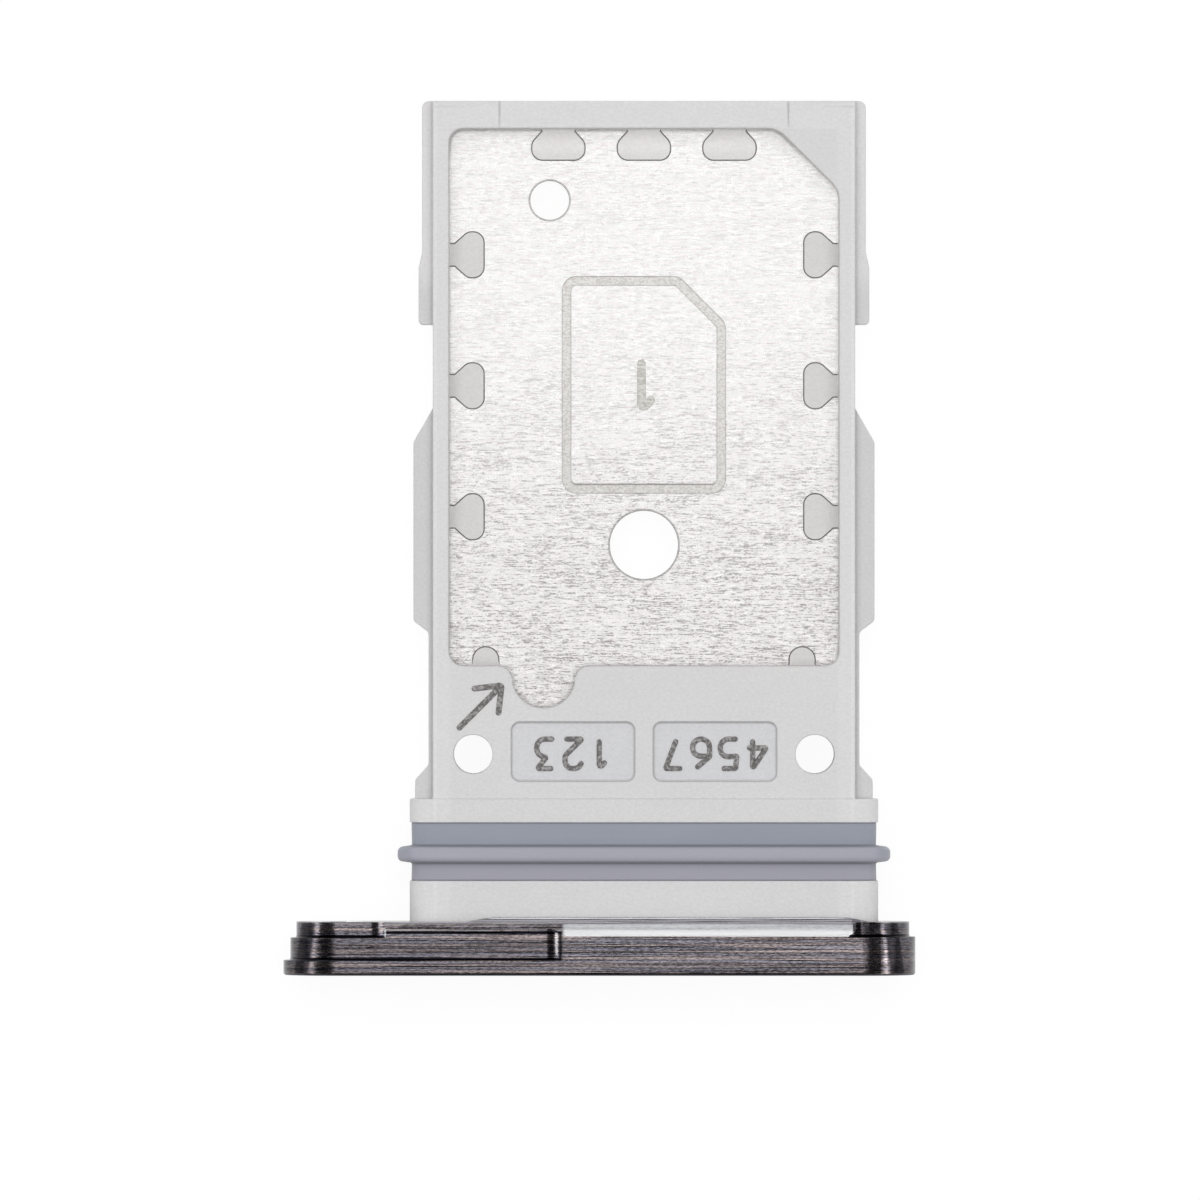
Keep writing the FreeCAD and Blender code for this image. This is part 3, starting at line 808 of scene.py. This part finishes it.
@dataclass(frozen=True)
class WhiteTable(Finish):
    """A white table that keeps a faint shadow."""

    name: str = "white table"
    glow: float = 0.90

    def paint(self, graph: Graph) -> Socket:
        """Adds the table's nodes: a diffuse white, with its own white for what looks at it.

        Args:
            graph: The material's graph.

        Returns:
            The shader.
        """
        cloth = graph.grain((40.0, 40.0, 40.0), 1.0)
        paper = graph.add("ShaderNodeBsdfDiffuse", {}, {
            "Color": graph.blend(cloth, (0.98, 0.98, 0.98), (1.0, 1.0, 1.0)),
        })
        white = graph.add("ShaderNodeEmission", {}, {"Strength": 1.03})
        seen, mirrored, through = graph.rays()
        share = seen.highest(mirrored).highest(through) * self.glow
        return graph.add("ShaderNodeMixShader", {}, {0: share, 1: paper, 2: white})


def filleted_line(corners: Points, radii: Points, steps: int = 6) -> Points:
    """Rounds the corners of an open line.

    Each inner corner with edge directions a and b becomes the circle arc that touches both edges: its
    centre lies on their bisector and its points are centre + radius * (cos, sin) over the turn.

    Args:
        corners: The line's points, one row each.
        radii: The radius at each inner corner.
        steps: Points on each arc, less one.

    Returns:
        The rounded line's points.
    """
    before = corners[:-2] - corners[1:-1]
    after = corners[2:] - corners[1:-1]
    before /= np.linalg.norm(before, axis=1, keepdims=True)
    after /= np.linalg.norm(after, axis=1, keepdims=True)
    half = np.arccos(np.clip((before * after).sum(1), -1, 1)) / 2
    bisector = before + after
    bisector /= np.linalg.norm(bisector, axis=1, keepdims=True)
    centre = corners[1:-1] + bisector * (radii / np.sin(half))[:, None]
    start = corners[1:-1] + before * (radii / np.tan(half))[:, None] - centre
    end = corners[1:-1] + after * (radii / np.tan(half))[:, None] - centre
    first = np.arctan2(start[:, 1], start[:, 0])
    turn = np.arctan2(end[:, 1], end[:, 0]) - first
    turn = (turn + math.pi) % (2 * math.pi) - math.pi
    angle = first[:, None] + turn[:, None] * np.linspace(0, 1, steps + 1)
    ring = np.stack([np.cos(angle), np.sin(angle)], axis=2) * radii[:, None, None]
    arcs = (centre[:, None, :] + ring).reshape(-1, 2)
    return np.vstack([corners[:1], arcs, corners[-1:]])


def grid_faces(rows: int, columns: int, wrap_rows: bool, wrap_columns: bool) -> Points:
    """The quads of a grid of points.

    The quad at (i, j) joins the points (i, j), (i + 1, j), (i + 1, j + 1) and (i, j + 1), counted row
    by row, and a wrapped direction joins its last line to its first.

    Args:
        rows: Number of rows of points.
        columns: Number of points in a row.
        wrap_rows: Whether the last row joins the first.
        wrap_columns: Whether each row closes on itself.

    Returns:
        Four point numbers for each quad.
    """
    i, j = np.meshgrid(np.arange(rows - (not wrap_rows)), np.arange(columns - (not wrap_columns)),
                       indexing="ij")
    below, beside = (i + 1) % rows, (j + 1) % columns
    here, there = i * columns, below * columns
    quads = np.stack([here + j, there + j, there + beside, here + beside], axis=2)
    return quads.reshape(-1, 4)


def beaded_line(line: Points, width: float, stand: float, around: int = 12,
                cap: int = 5) -> tuple[Points, Points]:
    """Lays a flat bead along an open line on a plane, with round ends.

    At the distance s along the line the half width is h(s) = h * sqrt(1 - (1 - e / h)^2), where e is the
    distance to the nearer end and no more than h. A point at the angle a round the bead is the line's
    point + h(s) * cos(a) * normal, at the height stand * h(s) / h * sin(a).

    Args:
        line: The line's points in the plane, one row each.
        width: The bead's width.
        stand: How far it stands out of the plane.
        around: Points round the bead.
        cap: Points along each round end.

    Returns:
        The points with their heights, and the quads.
    """
    half = width / 2
    steps = np.linalg.norm(np.diff(line, axis=0), axis=1)
    keep = np.concatenate([[True], steps > 1e-6])
    line = line[keep]
    run = np.concatenate([[0.0], np.cumsum(steps[keep[1:]])])
    rounded = half * (1 - np.cos(np.linspace(0, math.pi / 2, cap)))
    middle = run[(run > half * 1.02) & (run < run[-1] - half * 1.02)]
    place = np.concatenate([rounded, middle, run[-1] - rounded[::-1]])
    path = np.stack([np.interp(place, run, line[:, axis]) for axis in range(2)], axis=1)
    heading = np.gradient(path, place, axis=0)
    heading /= np.linalg.norm(heading, axis=1, keepdims=True)
    normal = np.stack([-heading[:, 1], heading[:, 0]], axis=1)
    share = np.sqrt(np.clip(1 - (1 - np.minimum(np.minimum(place, run[-1] - place) / half, 1)) ** 2, 0, 1))
    angle = np.linspace(0, 2 * math.pi, around, endpoint=False)
    across = half * share[:, None] * np.cos(angle)[None, :]
    up = stand * share[:, None] * np.sin(angle)[None, :]
    flat = path[:, None, :] + across[:, :, None] * normal[:, None, :]
    points = np.concatenate([flat, up[:, :, None]], axis=2)
    return points.reshape(-1, 3), grid_faces(len(place), around, False, True)


@dataclass
class PlainMark:
    """Plain digits or an arrow that stand out of a flat surface of the tray."""

    name: str
    strokes: Sequence[Stroke]
    centre: tuple[float, float]
    level: float
    height: float
    pitch: float
    width: float
    stand: float
    turn: float
    finish: Finish
    facing: Facing = Facing.FIRST_POCKET
    middle: tuple[float, float] = (0.33, 0.5)
    least_radius: float = 0.004

    def build(self) -> bpy.types.Object:
        """Lays a bead along each stroke.

        The strokes stand in a row of one pitch, are turned about the row's middle and are carried to
        their place. On the second side x and z change sign, which is half a turn about the centre line.

        Returns:
            The mark.
        """
        points, faces = [], []
        count = 0
        for number, stroke in enumerate(self.strokes):
            corners = np.array(stroke.value) * self.height
            line = filleted_line(corners[:, :2], corners[1:-1, 2] + self.least_radius)
            line = line + ((number - (len(self.strokes) - 1) / 2) * self.pitch, 0.0)
            line = line - np.array(self.middle) * self.height
            bead, quads = beaded_line(line, self.width, self.stand)
            points.append(bead)
            faces.append(quads + count)
            count += len(bead)
        placed = np.vstack(points)
        cosine, sine = math.cos(self.turn), math.sin(self.turn)
        across = placed[:, 0] * cosine - placed[:, 1] * sine + self.centre[0]
        along = placed[:, 0] * sine + placed[:, 1] * cosine + self.centre[1]
        side = self.facing.value
        placed = np.stack([across * side, along, (placed[:, 2] + self.level) * side], axis=1)
        return mesh_piece(self.name, placed, np.vstack(faces), self.finish)


def finished(mesh: bpy.types.Mesh, finish: Finish) -> bpy.types.Object:
    """Makes an object of a mesh, smooth and with its finish.

    Args:
        mesh: The mesh, which gives the object its name.
        finish: Its finish.

    Returns:
        The object, linked to the scene.
    """
    mesh.shade_smooth()
    mesh.materials.append(finish.material())
    piece = bpy.data.objects.new(mesh.name, mesh)
    bpy.context.scene.collection.objects.link(piece)
    return piece


def mesh_piece(name: str, points: Points, faces: Sequence[Sequence[int]],
               finish: Finish) -> bpy.types.Object:
    """Makes a smooth mesh object.

    Args:
        name: The object's name.
        points: Its vertices in millimetres, one row each.
        faces: Its faces as vertex numbers.
        finish: Its finish.

    Returns:
        The object, linked to the scene.
    """
    mesh = bpy.data.meshes.new(name)
    mesh.from_pydata(points.tolist(), [], [list(map(int, face)) for face in faces])
    work = bmesh.new()
    work.from_mesh(mesh)
    bmesh.ops.remove_doubles(work, verts=work.verts, dist=MERGE_WITHIN)
    bmesh.ops.recalc_face_normals(work, faces=work.faces)
    bmesh.ops.scale(work, vec=Vector((MM,) * 3), verts=work.verts)
    work.to_mesh(mesh)
    work.free()
    return finished(mesh, finish)


def mounted(piece: bpy.types.Object, slot: str) -> bpy.types.Object:
    """Makes a finished piece part of the tray.

    Args:
        piece: The piece, in place.
        slot: The material slot that it belongs to, which is only logged.

    Returns:
        The same piece.
    """
    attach(piece, "root")
    log.info("%s: %d faces, slot %s", piece.name, len(piece.data.polygons), slot)
    return piece


@dataclass
class EdgeBreak:
    """The small rounding that a tool leaves along every sharp edge and in every inner corner.

    It is made wherever there is room for it. Where it would fold the surface over, as at a corner
    tighter than its width, the edges next to the fold stay sharp. Lengths are in millimetres, angles in
    degrees, and turned_past is the cosine past which a face counts as turned against the surface.
    """

    width: float
    inner_width: float = 0.0
    segments: int = 2
    sharper_than: float = 28.0
    spare_turn: float = 5.0
    flat_within: float = 0.05
    keep_clear: float = 0.06
    furthest: float = 0.05
    turned_past: float = -0.2
    least_area: float = 1e-6
    tries: int = 6

    def _joined(self, node: str) -> bmesh.types.BMesh:
        """Copies a piece of the frame in millimetres, with its loose triangles joined into whole faces.

        Args:
            node: The frame's piece.

        Returns:
            The copy.
        """
        blank = bmesh.new()
        blank.from_mesh(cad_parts[node].data)
        bmesh.ops.scale(blank, vec=Vector((1 / MM,) * 3), verts=blank.verts)
        bmesh.ops.remove_doubles(blank, verts=blank.verts, dist=MERGE_WITHIN)
        bmesh.ops.dissolve_limit(blank, angle_limit=math.radians(self.flat_within), verts=blank.verts,
                                 edges=blank.edges)
        return blank

    def _clear(self, edges: Sequence[bmesh.types.BMEdge], folds: Points) -> list[bmesh.types.BMEdge]:
        """Picks the edges that keep away from every fold.

        With a and b an edge's ends and p a fold, the edge's nearest point is a + t * (b - a), where t is
        (p - a) . (b - a) / |b - a|^2, kept from 0 to 1.

        Args:
            edges: The edges to pick from.
            folds: The folds' places, one row each.

        Returns:
            The edges that may be rounded.
        """
        if not edges or not len(folds):
            return list(edges)
        first, last = (np.array([edge.verts[side].co for edge in edges])[:, None] for side in range(2))
        run = last - first
        share = ((folds - first) * run).sum(2) / (run * run).sum(2)
        nearest = first + np.clip(share, 0, 1)[..., None] * run
        away = np.linalg.norm(folds - nearest, axis=2).min(axis=1)
        return [edge for edge, distance in zip(edges, away) if distance > self.keep_clear]

    def _rounded(self, blank: bmesh.types.BMesh, folds: Points) -> bmesh.types.BMesh:
        """Rounds a copy's sharp edges, the inner corners first where they have a width of their own.

        Args:
            blank: The piece with sharp edges.
            folds: Places to keep away from.

        Returns:
            The rounded copy.
        """
        work = blank.copy()
        if self.inner_width > self.width:
            passes = ((self.inner_width, (False,)), (self.width, (True,)))
        else:
            passes = ((self.width, (True, False)),)
        for width, kinds in passes:
            work.normal_update()
            sharp = [edge for edge in work.edges if edge.is_manifold and edge.is_convex in kinds
                     and edge.calc_face_angle() > math.radians(self.sharper_than)]
            bmesh.ops.bevel(work, geom=self._clear(sharp, folds), offset=width, segments=self.segments,
                            profile=0.5, affect="EDGES", clamp_overlap=False)
        self._mark_sharp(work)
        return work

    def _mark_sharp(self, work: bmesh.types.BMesh) -> None:
        """Marks the edges that stayed sharp, so that they aren't shaded as if they were round.

        The rounding of a square corner turns by 90 degrees over its segments. An edge that turns by more
        than one such step and the spare is no part of a rounding.

        Args:
            work: The rounded piece.
        """
        work.normal_update()
        step = math.radians(90 / self.segments + self.spare_turn)
        for edge in work.edges:
            edge.smooth = not (edge.is_manifold and edge.calc_face_angle() > step)

    @staticmethod
    def _corner_normals(work: bmesh.types.BMesh) -> list[Vector]:
        """Lets the largest faces lead the shading at each corner, so that flat faces look flat.

        Round a corner, the faces between two sharp edges share one normal: the sum of area^2 * normal.

        Args:
            work: The rounded piece, with its sharp edges marked.

        Returns:
            One normal for each corner of each face, in the order of the faces.
        """
        work.normal_update()
        led = {}
        for vert in work.verts:
            left = list(vert.link_faces)
            while left:
                fan = [left.pop()]
                for face in fan:
                    beside = [other for edge in face.edges if edge.smooth and vert in edge.verts
                              for other in edge.link_faces]
                    fan += [other for other in left if other in beside]
                    left = [other for other in left if other not in beside]
                lead = sum((face.normal * face.calc_area() ** 2 for face in fan), Vector())
                for face in fan:
                    led[face, vert] = lead.normalized() if lead.length > 0 else face.normal
        return [led[face, loop.vert] for face in work.faces for loop in face.loops]

    def _folds(self, work: bmesh.types.BMesh, surface: BVHTree) -> list[Vector]:
        """Finds the places where the rounded skin left the piece's surface or faces against it.

        Args:
            work: The rounded piece.
            surface: The surface with sharp edges.

        Returns:
            The middles of those triangles.
        """
        probe = work.copy()
        bmesh.ops.triangulate(probe, faces=probe.faces)
        probe.normal_update()
        spots = []
        for face in probe.faces:
            middle = face.calc_center_median()
            _, normal, _, distance = surface.find_nearest(middle)
            folded = distance > self.furthest or normal.dot(face.normal) < self.turned_past
            if folded and face.calc_area() > self.least_area:
                spots.append(middle.copy())
        probe.free()
        return spots

    def dress(self, node: str, name: str, finish: Finish) -> bpy.types.Object:
        """Copies a piece of the frame and rounds its sharp edges.

        Args:
            node: The frame's piece.
            name: The new piece's name.
            finish: Its finish.

        Returns:
            The rounded piece.
        """
        blank = self._joined(node)
        surface = BVHTree.FromBMesh(blank)
        folds = []
        for _ in range(self.tries):
            work = self._rounded(blank, np.array(folds))
            found = self._folds(work, surface)
            log.info("%s: %d folds to clear", name, len(found))
            if not found:
                break
            folds += found
        normals = self._corner_normals(work)
        bmesh.ops.scale(work, vec=Vector((MM,) * 3), verts=work.verts)
        mesh = bpy.data.meshes.new(name)
        work.to_mesh(mesh)
        mesh.materials.clear()
        piece = finished(mesh, finish)
        mesh.normals_split_custom_set(normals)
        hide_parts(node)
        return piece


@dataclass
class FacePlate:
    """The machined plate that closes the slot."""

    edge_break: EdgeBreak = field(
        default_factory=lambda: EdgeBreak(width=0.020, inner_width=0.045, segments=3))
    finish: AnodisedAluminium = field(default_factory=AnodisedAluminium)

    def build(self) -> list[bpy.types.Object]:
        """Makes the plate with its broken edges.

        Returns:
            The plate's pieces.
        """
        plate = self.edge_break.dress("face_plate", "machined_face_plate", self.finish)
        return [mounted(plate, "face_plate")]


@dataclass
class MouldedFrame:
    """The frame and neck in one moulding, with small raised characters in its windows."""

    edge_break: EdgeBreak = field(default_factory=lambda: EdgeBreak(width=0.030, sharper_than=50.0))
    finish: MouldedPlastic = field(default_factory=MouldedPlastic)
    characters: MouldedCharacter = field(default_factory=MouldedCharacter)
    window_floor: float = 0.675
    window_row: float = 5.12
    window_x: float = 1.64
    character_height: float = 0.68
    character_pitch: float = 0.64
    character_width: float = 0.125
    character_stand: float = 0.05
    top: float = 0.775
    arrow_centre: tuple[float, float] = (-3.81, 6.20)
    arrow_length: float = 1.45
    arrow_width: float = 0.14
    arrow_stand: float = 0.035
    arrow_turn: float = math.radians(-45)

    def build(self) -> list[bpy.types.Object]:
        """Makes the moulding.

        Returns:
            The frame's pieces.
        """
        body = self.edge_break.dress("tray_frame", "moulded_frame", self.finish)
        digits = [
            PlainMark(f"{window}_window_digits", strokes, (across, self.window_row), self.window_floor,
                      self.character_height, self.character_pitch, self.character_width,
                      self.character_stand, math.pi, self.characters).build()
            for window, across, strokes in (
                ("first", -self.window_x, (Stroke.ONE, Stroke.TWO, Stroke.THREE)),
                ("second", self.window_x, (Stroke.FOUR, Stroke.FIVE, Stroke.SIX, Stroke.SEVEN)),
            )
        ]
        arrow = PlainMark("way_in_arrow", (Stroke.SHAFT, Stroke.HEAD), self.arrow_centre, self.top,
                          self.arrow_length, 0.0, self.arrow_width, self.arrow_stand, self.arrow_turn,
                          self.characters).build()
        return [mounted(piece, "tray_frame") for piece in (body, *digits, arrow)]


@dataclass
class FloorSheet:
    """The stamped sheet that both cards lie on."""

    edge_break: EdgeBreak = field(default_factory=lambda: EdgeBreak(width=0.014))
    finish: BrushedSteel = field(default_factory=BrushedSteel)
    mark: EtchedMark = field(default_factory=EtchedMark)
    mark_centre: tuple[float, float] = (0.0, 13.65)
    mark_height: float = 1.18
    mark_width: float = 0.20
    mark_stand: float = 0.010
    surface: float = 0.075

    def build(self) -> list[bpy.types.Object]:
        """Makes the sheet.

        Returns:
            The sheet's pieces.
        """
        sheet = self.edge_break.dress("floor_sheet", "brushed_floor_sheet", self.finish)
        numbers = [
            PlainMark(f"{facing.name.lower()}_number", (stroke,), self.mark_centre, self.surface,
                      self.mark_height, 0.0, self.mark_width, self.mark_stand, math.pi, self.mark,
                      facing).build()
            for facing, stroke in ((Facing.FIRST_POCKET, Stroke.ONE), (Facing.SECOND_POCKET, Stroke.TWO))
        ]
        return [mounted(piece, "floor_sheet") for piece in (sheet, *numbers)]


@dataclass
class NeckSeal:
    """The silicone ring, as a profile carried round the neck."""

    half_width: float = 5.415
    half_height: float = 0.85
    corner_radius: float = 0.45
    start: float = 2.19
    length: float = 1.34
    groove_depth: float = 0.30
    sunk: float = 0.04
    ridge_from: float = 0.41
    ridge_width: float = 0.40
    tip_width: float = 0.31
    ridge_stand: float = 0.28
    dip: float = 0.012
    edge_radius: float = 0.035
    foot_radius: float = 0.05
    ridge_radius: float = 0.12
    finish: SiliconeRubber = field(default_factory=SiliconeRubber)

    def _profile(self) -> Points:
        """The ring's section as (distance along the neck, growth from the neck's surface) points.

        It is a line with rounded corners: up from the groove, along the band, over the ridge and down.

        Returns:
            The section's points in order.
        """
        foot = self.ridge_from
        slope = (self.ridge_width - self.tip_width) / 2
        corners = np.array([
            (0.0, -self.groove_depth),
            (0.0, -self.sunk),
            (foot, -self.sunk - self.dip),
            (foot + slope, self.ridge_stand),
            (foot + slope + self.tip_width, self.ridge_stand),
            (foot + self.ridge_width, -self.sunk - self.dip),
            (self.length, -self.sunk),
            (self.length, -self.groove_depth),
        ])
        half = [self.edge_radius, self.foot_radius, self.ridge_radius]
        radii = np.array([*half, *half[::-1]])
        return filleted_line(corners, radii, 5) + (self.start, 0.0)

    def _outline(self, steps: int = 14, run: int = 24) -> tuple[Points, Points]:
        """The neck's outline as corner-circle centres and outward directions.

        A point grown by g lies at centre + (corner radius + g) * direction, so straight stretches and
        round corners are one formula.

        Args:
            steps: Points on each corner.
            run: Points added along each straight stretch.

        Returns:
            The centres and the directions, in the plane across the tray.
        """
        quarter = np.linspace(0, math.pi / 2, steps)
        angle = quarter[None, :] + np.arange(4)[:, None] * math.pi / 2
        across = self.half_width - self.corner_radius
        up = self.half_height - self.corner_radius
        corner = np.array([(across, up), (-across, up), (-across, -up), (across, -up)])
        centres = np.repeat(corner[:, None, :], steps, axis=1)
        directions = np.stack([np.cos(angle), np.sin(angle)], axis=2)
        following = np.roll(corner, -1, axis=0)
        share = np.linspace(0, 1, run + 2)[1:-1]
        between = corner[:, None, :] + (following - corner)[:, None, :] * share[None, :, None]
        straight = np.repeat(directions[:, -1:, :], run, axis=1)
        return (np.concatenate([centres, between], axis=1).reshape(-1, 2),
                np.concatenate([directions, straight], axis=1).reshape(-1, 2))

    def build(self) -> list[bpy.types.Object]:
        """Makes the ring: point (u, v) is outline(u) grown by the profile's height at v.

        Returns:
            The seal's pieces.
        """
        profile = self._profile()
        centres, directions = self._outline()
        rows, columns = len(centres), len(profile)
        reach = np.broadcast_to(self.corner_radius + profile[:, 1], (rows, columns))
        across = centres[:, None, :] + directions[:, None, :] * reach[:, :, None]
        along = np.broadcast_to(profile[:, 0], (rows, columns))
        points = np.stack([across[..., 0], along, across[..., 1]], axis=2)
        faces = grid_faces(rows, columns, True, True)
        ring = mesh_piece("silicone_neck_seal", points.reshape(-1, 3), faces[:, ::-1], self.finish)
        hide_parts("neck_seal")
        return [mounted(ring, "neck_seal")]


@dataclass
class Studio:
    """Table, lamps, surroundings and camera."""

    picture_size: float = 1200.0
    pixel: float = 0.0231
    centre_pixel: tuple[float, float] = (644.0, 975.5)
    lens: float = 600.0
    sensor: float = 36.0
    focus_height: float = 0.775
    table_height: float = -1.2405
    table_radius: float = 900.0
    table_rings: int = 12
    table_spokes: int = 64
    tray_middle: float = 9.0

    def camera(self) -> None:
        """Sets the camera straight above the point that the picture's middle shows."""
        data = bpy.data.cameras.new("camera")
        data.lens = self.lens
        data.sensor_width = self.sensor
        distance = self.picture_size * self.pixel * self.lens / self.sensor
        data.clip_start = distance * MM * 0.05
        data.clip_end = distance * MM * 20
        eye = bpy.data.objects.new("camera", data)
        middle = self.picture_size / 2
        eye.location = (
            (middle - self.centre_pixel[0]) * self.pixel * MM,
            (self.centre_pixel[1] - middle) * self.pixel * MM,
            (self.focus_height + distance) * MM,
        )
        bpy.context.scene.collection.objects.link(eye)
        bpy.context.scene.camera = eye

    def table(self) -> None:
        """Lays the table: a disc of rings, each point at (radius * cos, radius * sin)."""
        rings, spokes = self.table_rings, self.table_spokes
        radius = np.linspace(0.02, 1.0, rings) ** 2 * self.table_radius
        angle = np.linspace(0, 2 * math.pi, spokes, endpoint=False)
        points = np.stack([
            radius[:, None] * np.cos(angle),
            radius[:, None] * np.sin(angle) + self.tray_middle,
            np.full((rings, spokes), self.table_height),
        ], axis=2).reshape(-1, 3)
        faces = [*grid_faces(rings, spokes, False, True), range(spokes)]
        mesh_piece("table", points, faces, WhiteTable())

    def lamp(self, name: str, place: Sequence[float], target: Sequence[float], size: Sequence[float],
             radiance: float) -> None:
        """Hangs a soft box.

        Args:
            name: The lamp's name.
            place: Where it hangs, in millimetres.
            target: What it points at, in millimetres.
            size: Its width and height in millimetres.
            radiance: Its brightness as a surface, where 1 is white.
        """
        data = bpy.data.lights.new(name, "AREA")
        data.shape = "RECTANGLE"
        data.size, data.size_y = (length * MM for length in size)
        data.energy = radiance * math.pi * data.size * data.size_y
        box = bpy.data.objects.new(name, data)
        box.location = Vector(place) * MM
        box.rotation_euler = (Vector(target) - Vector(place)).to_track_quat("-Z", "Y").to_euler()
        box.visible_glossy = False
        bpy.context.scene.collection.objects.link(box)

    def surroundings(self) -> None:
        """Paints the studio round the tray: white to look at, with dark walls and soft boxes in metal."""
        world = bpy.data.worlds.new("studio")
        world.use_nodes = True
        bpy.context.scene.world = world
        graph = Graph(world.node_tree)
        direction = graph.add("ShaderNodeTexCoord", output="Generated")
        x, y, z = (graph.add("ShaderNodeSeparateXYZ", {}, {0: direction}, axis) for axis in range(3))
        overhead = (x * x + y * y * 0.25).root().rise(0.17, 0.08) * z.rise(0.0, 0.1) * 2.4
        sides = abs(x).rise(0.55, 0.70) * z.rise(0.20, 0.28) * z.rise(0.66, 0.56) * 2.6
        rear = y.rise(0.80, 0.92) * z.rise(0.42, 0.30) * z.rise(-0.2, 0.0) * 1.6
        horizon = z.rise(0.18, 0.08) * 0.95
        dome = overhead.highest(sides).highest(rear).highest(horizon).highest(0.05)
        seen, mirrored, through = graph.rays()
        white = seen.highest(through)
        plain = (1.0 - white) * (1.0 - mirrored) * 0.58
        strength = white + (1.0 - white) * mirrored * dome + plain
        graph.close("ShaderNodeOutputWorld", graph.add("ShaderNodeBackground", {}, {"Strength": strength}))

    def build(self) -> None:
        """Sets up everything that isn't the tray."""
        bpy.context.scene.view_settings.view_transform = "Standard"
        self.table()
        self.lamp("overhead", (0, 40, 170), (0, 12, 0), (180, 160), 2.0)
        self.surroundings()
        self.camera()


def main() -> None:
    """Builds the tray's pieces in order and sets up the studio."""
    logging.basicConfig(level=logging.INFO, format="%(name)s: %(message)s")
    for assembly in (FloorSheet(), MouldedFrame(), NeckSeal(), FacePlate()):
        assembly.build()
    Studio().build()


if __name__ == "__main__":
    main()
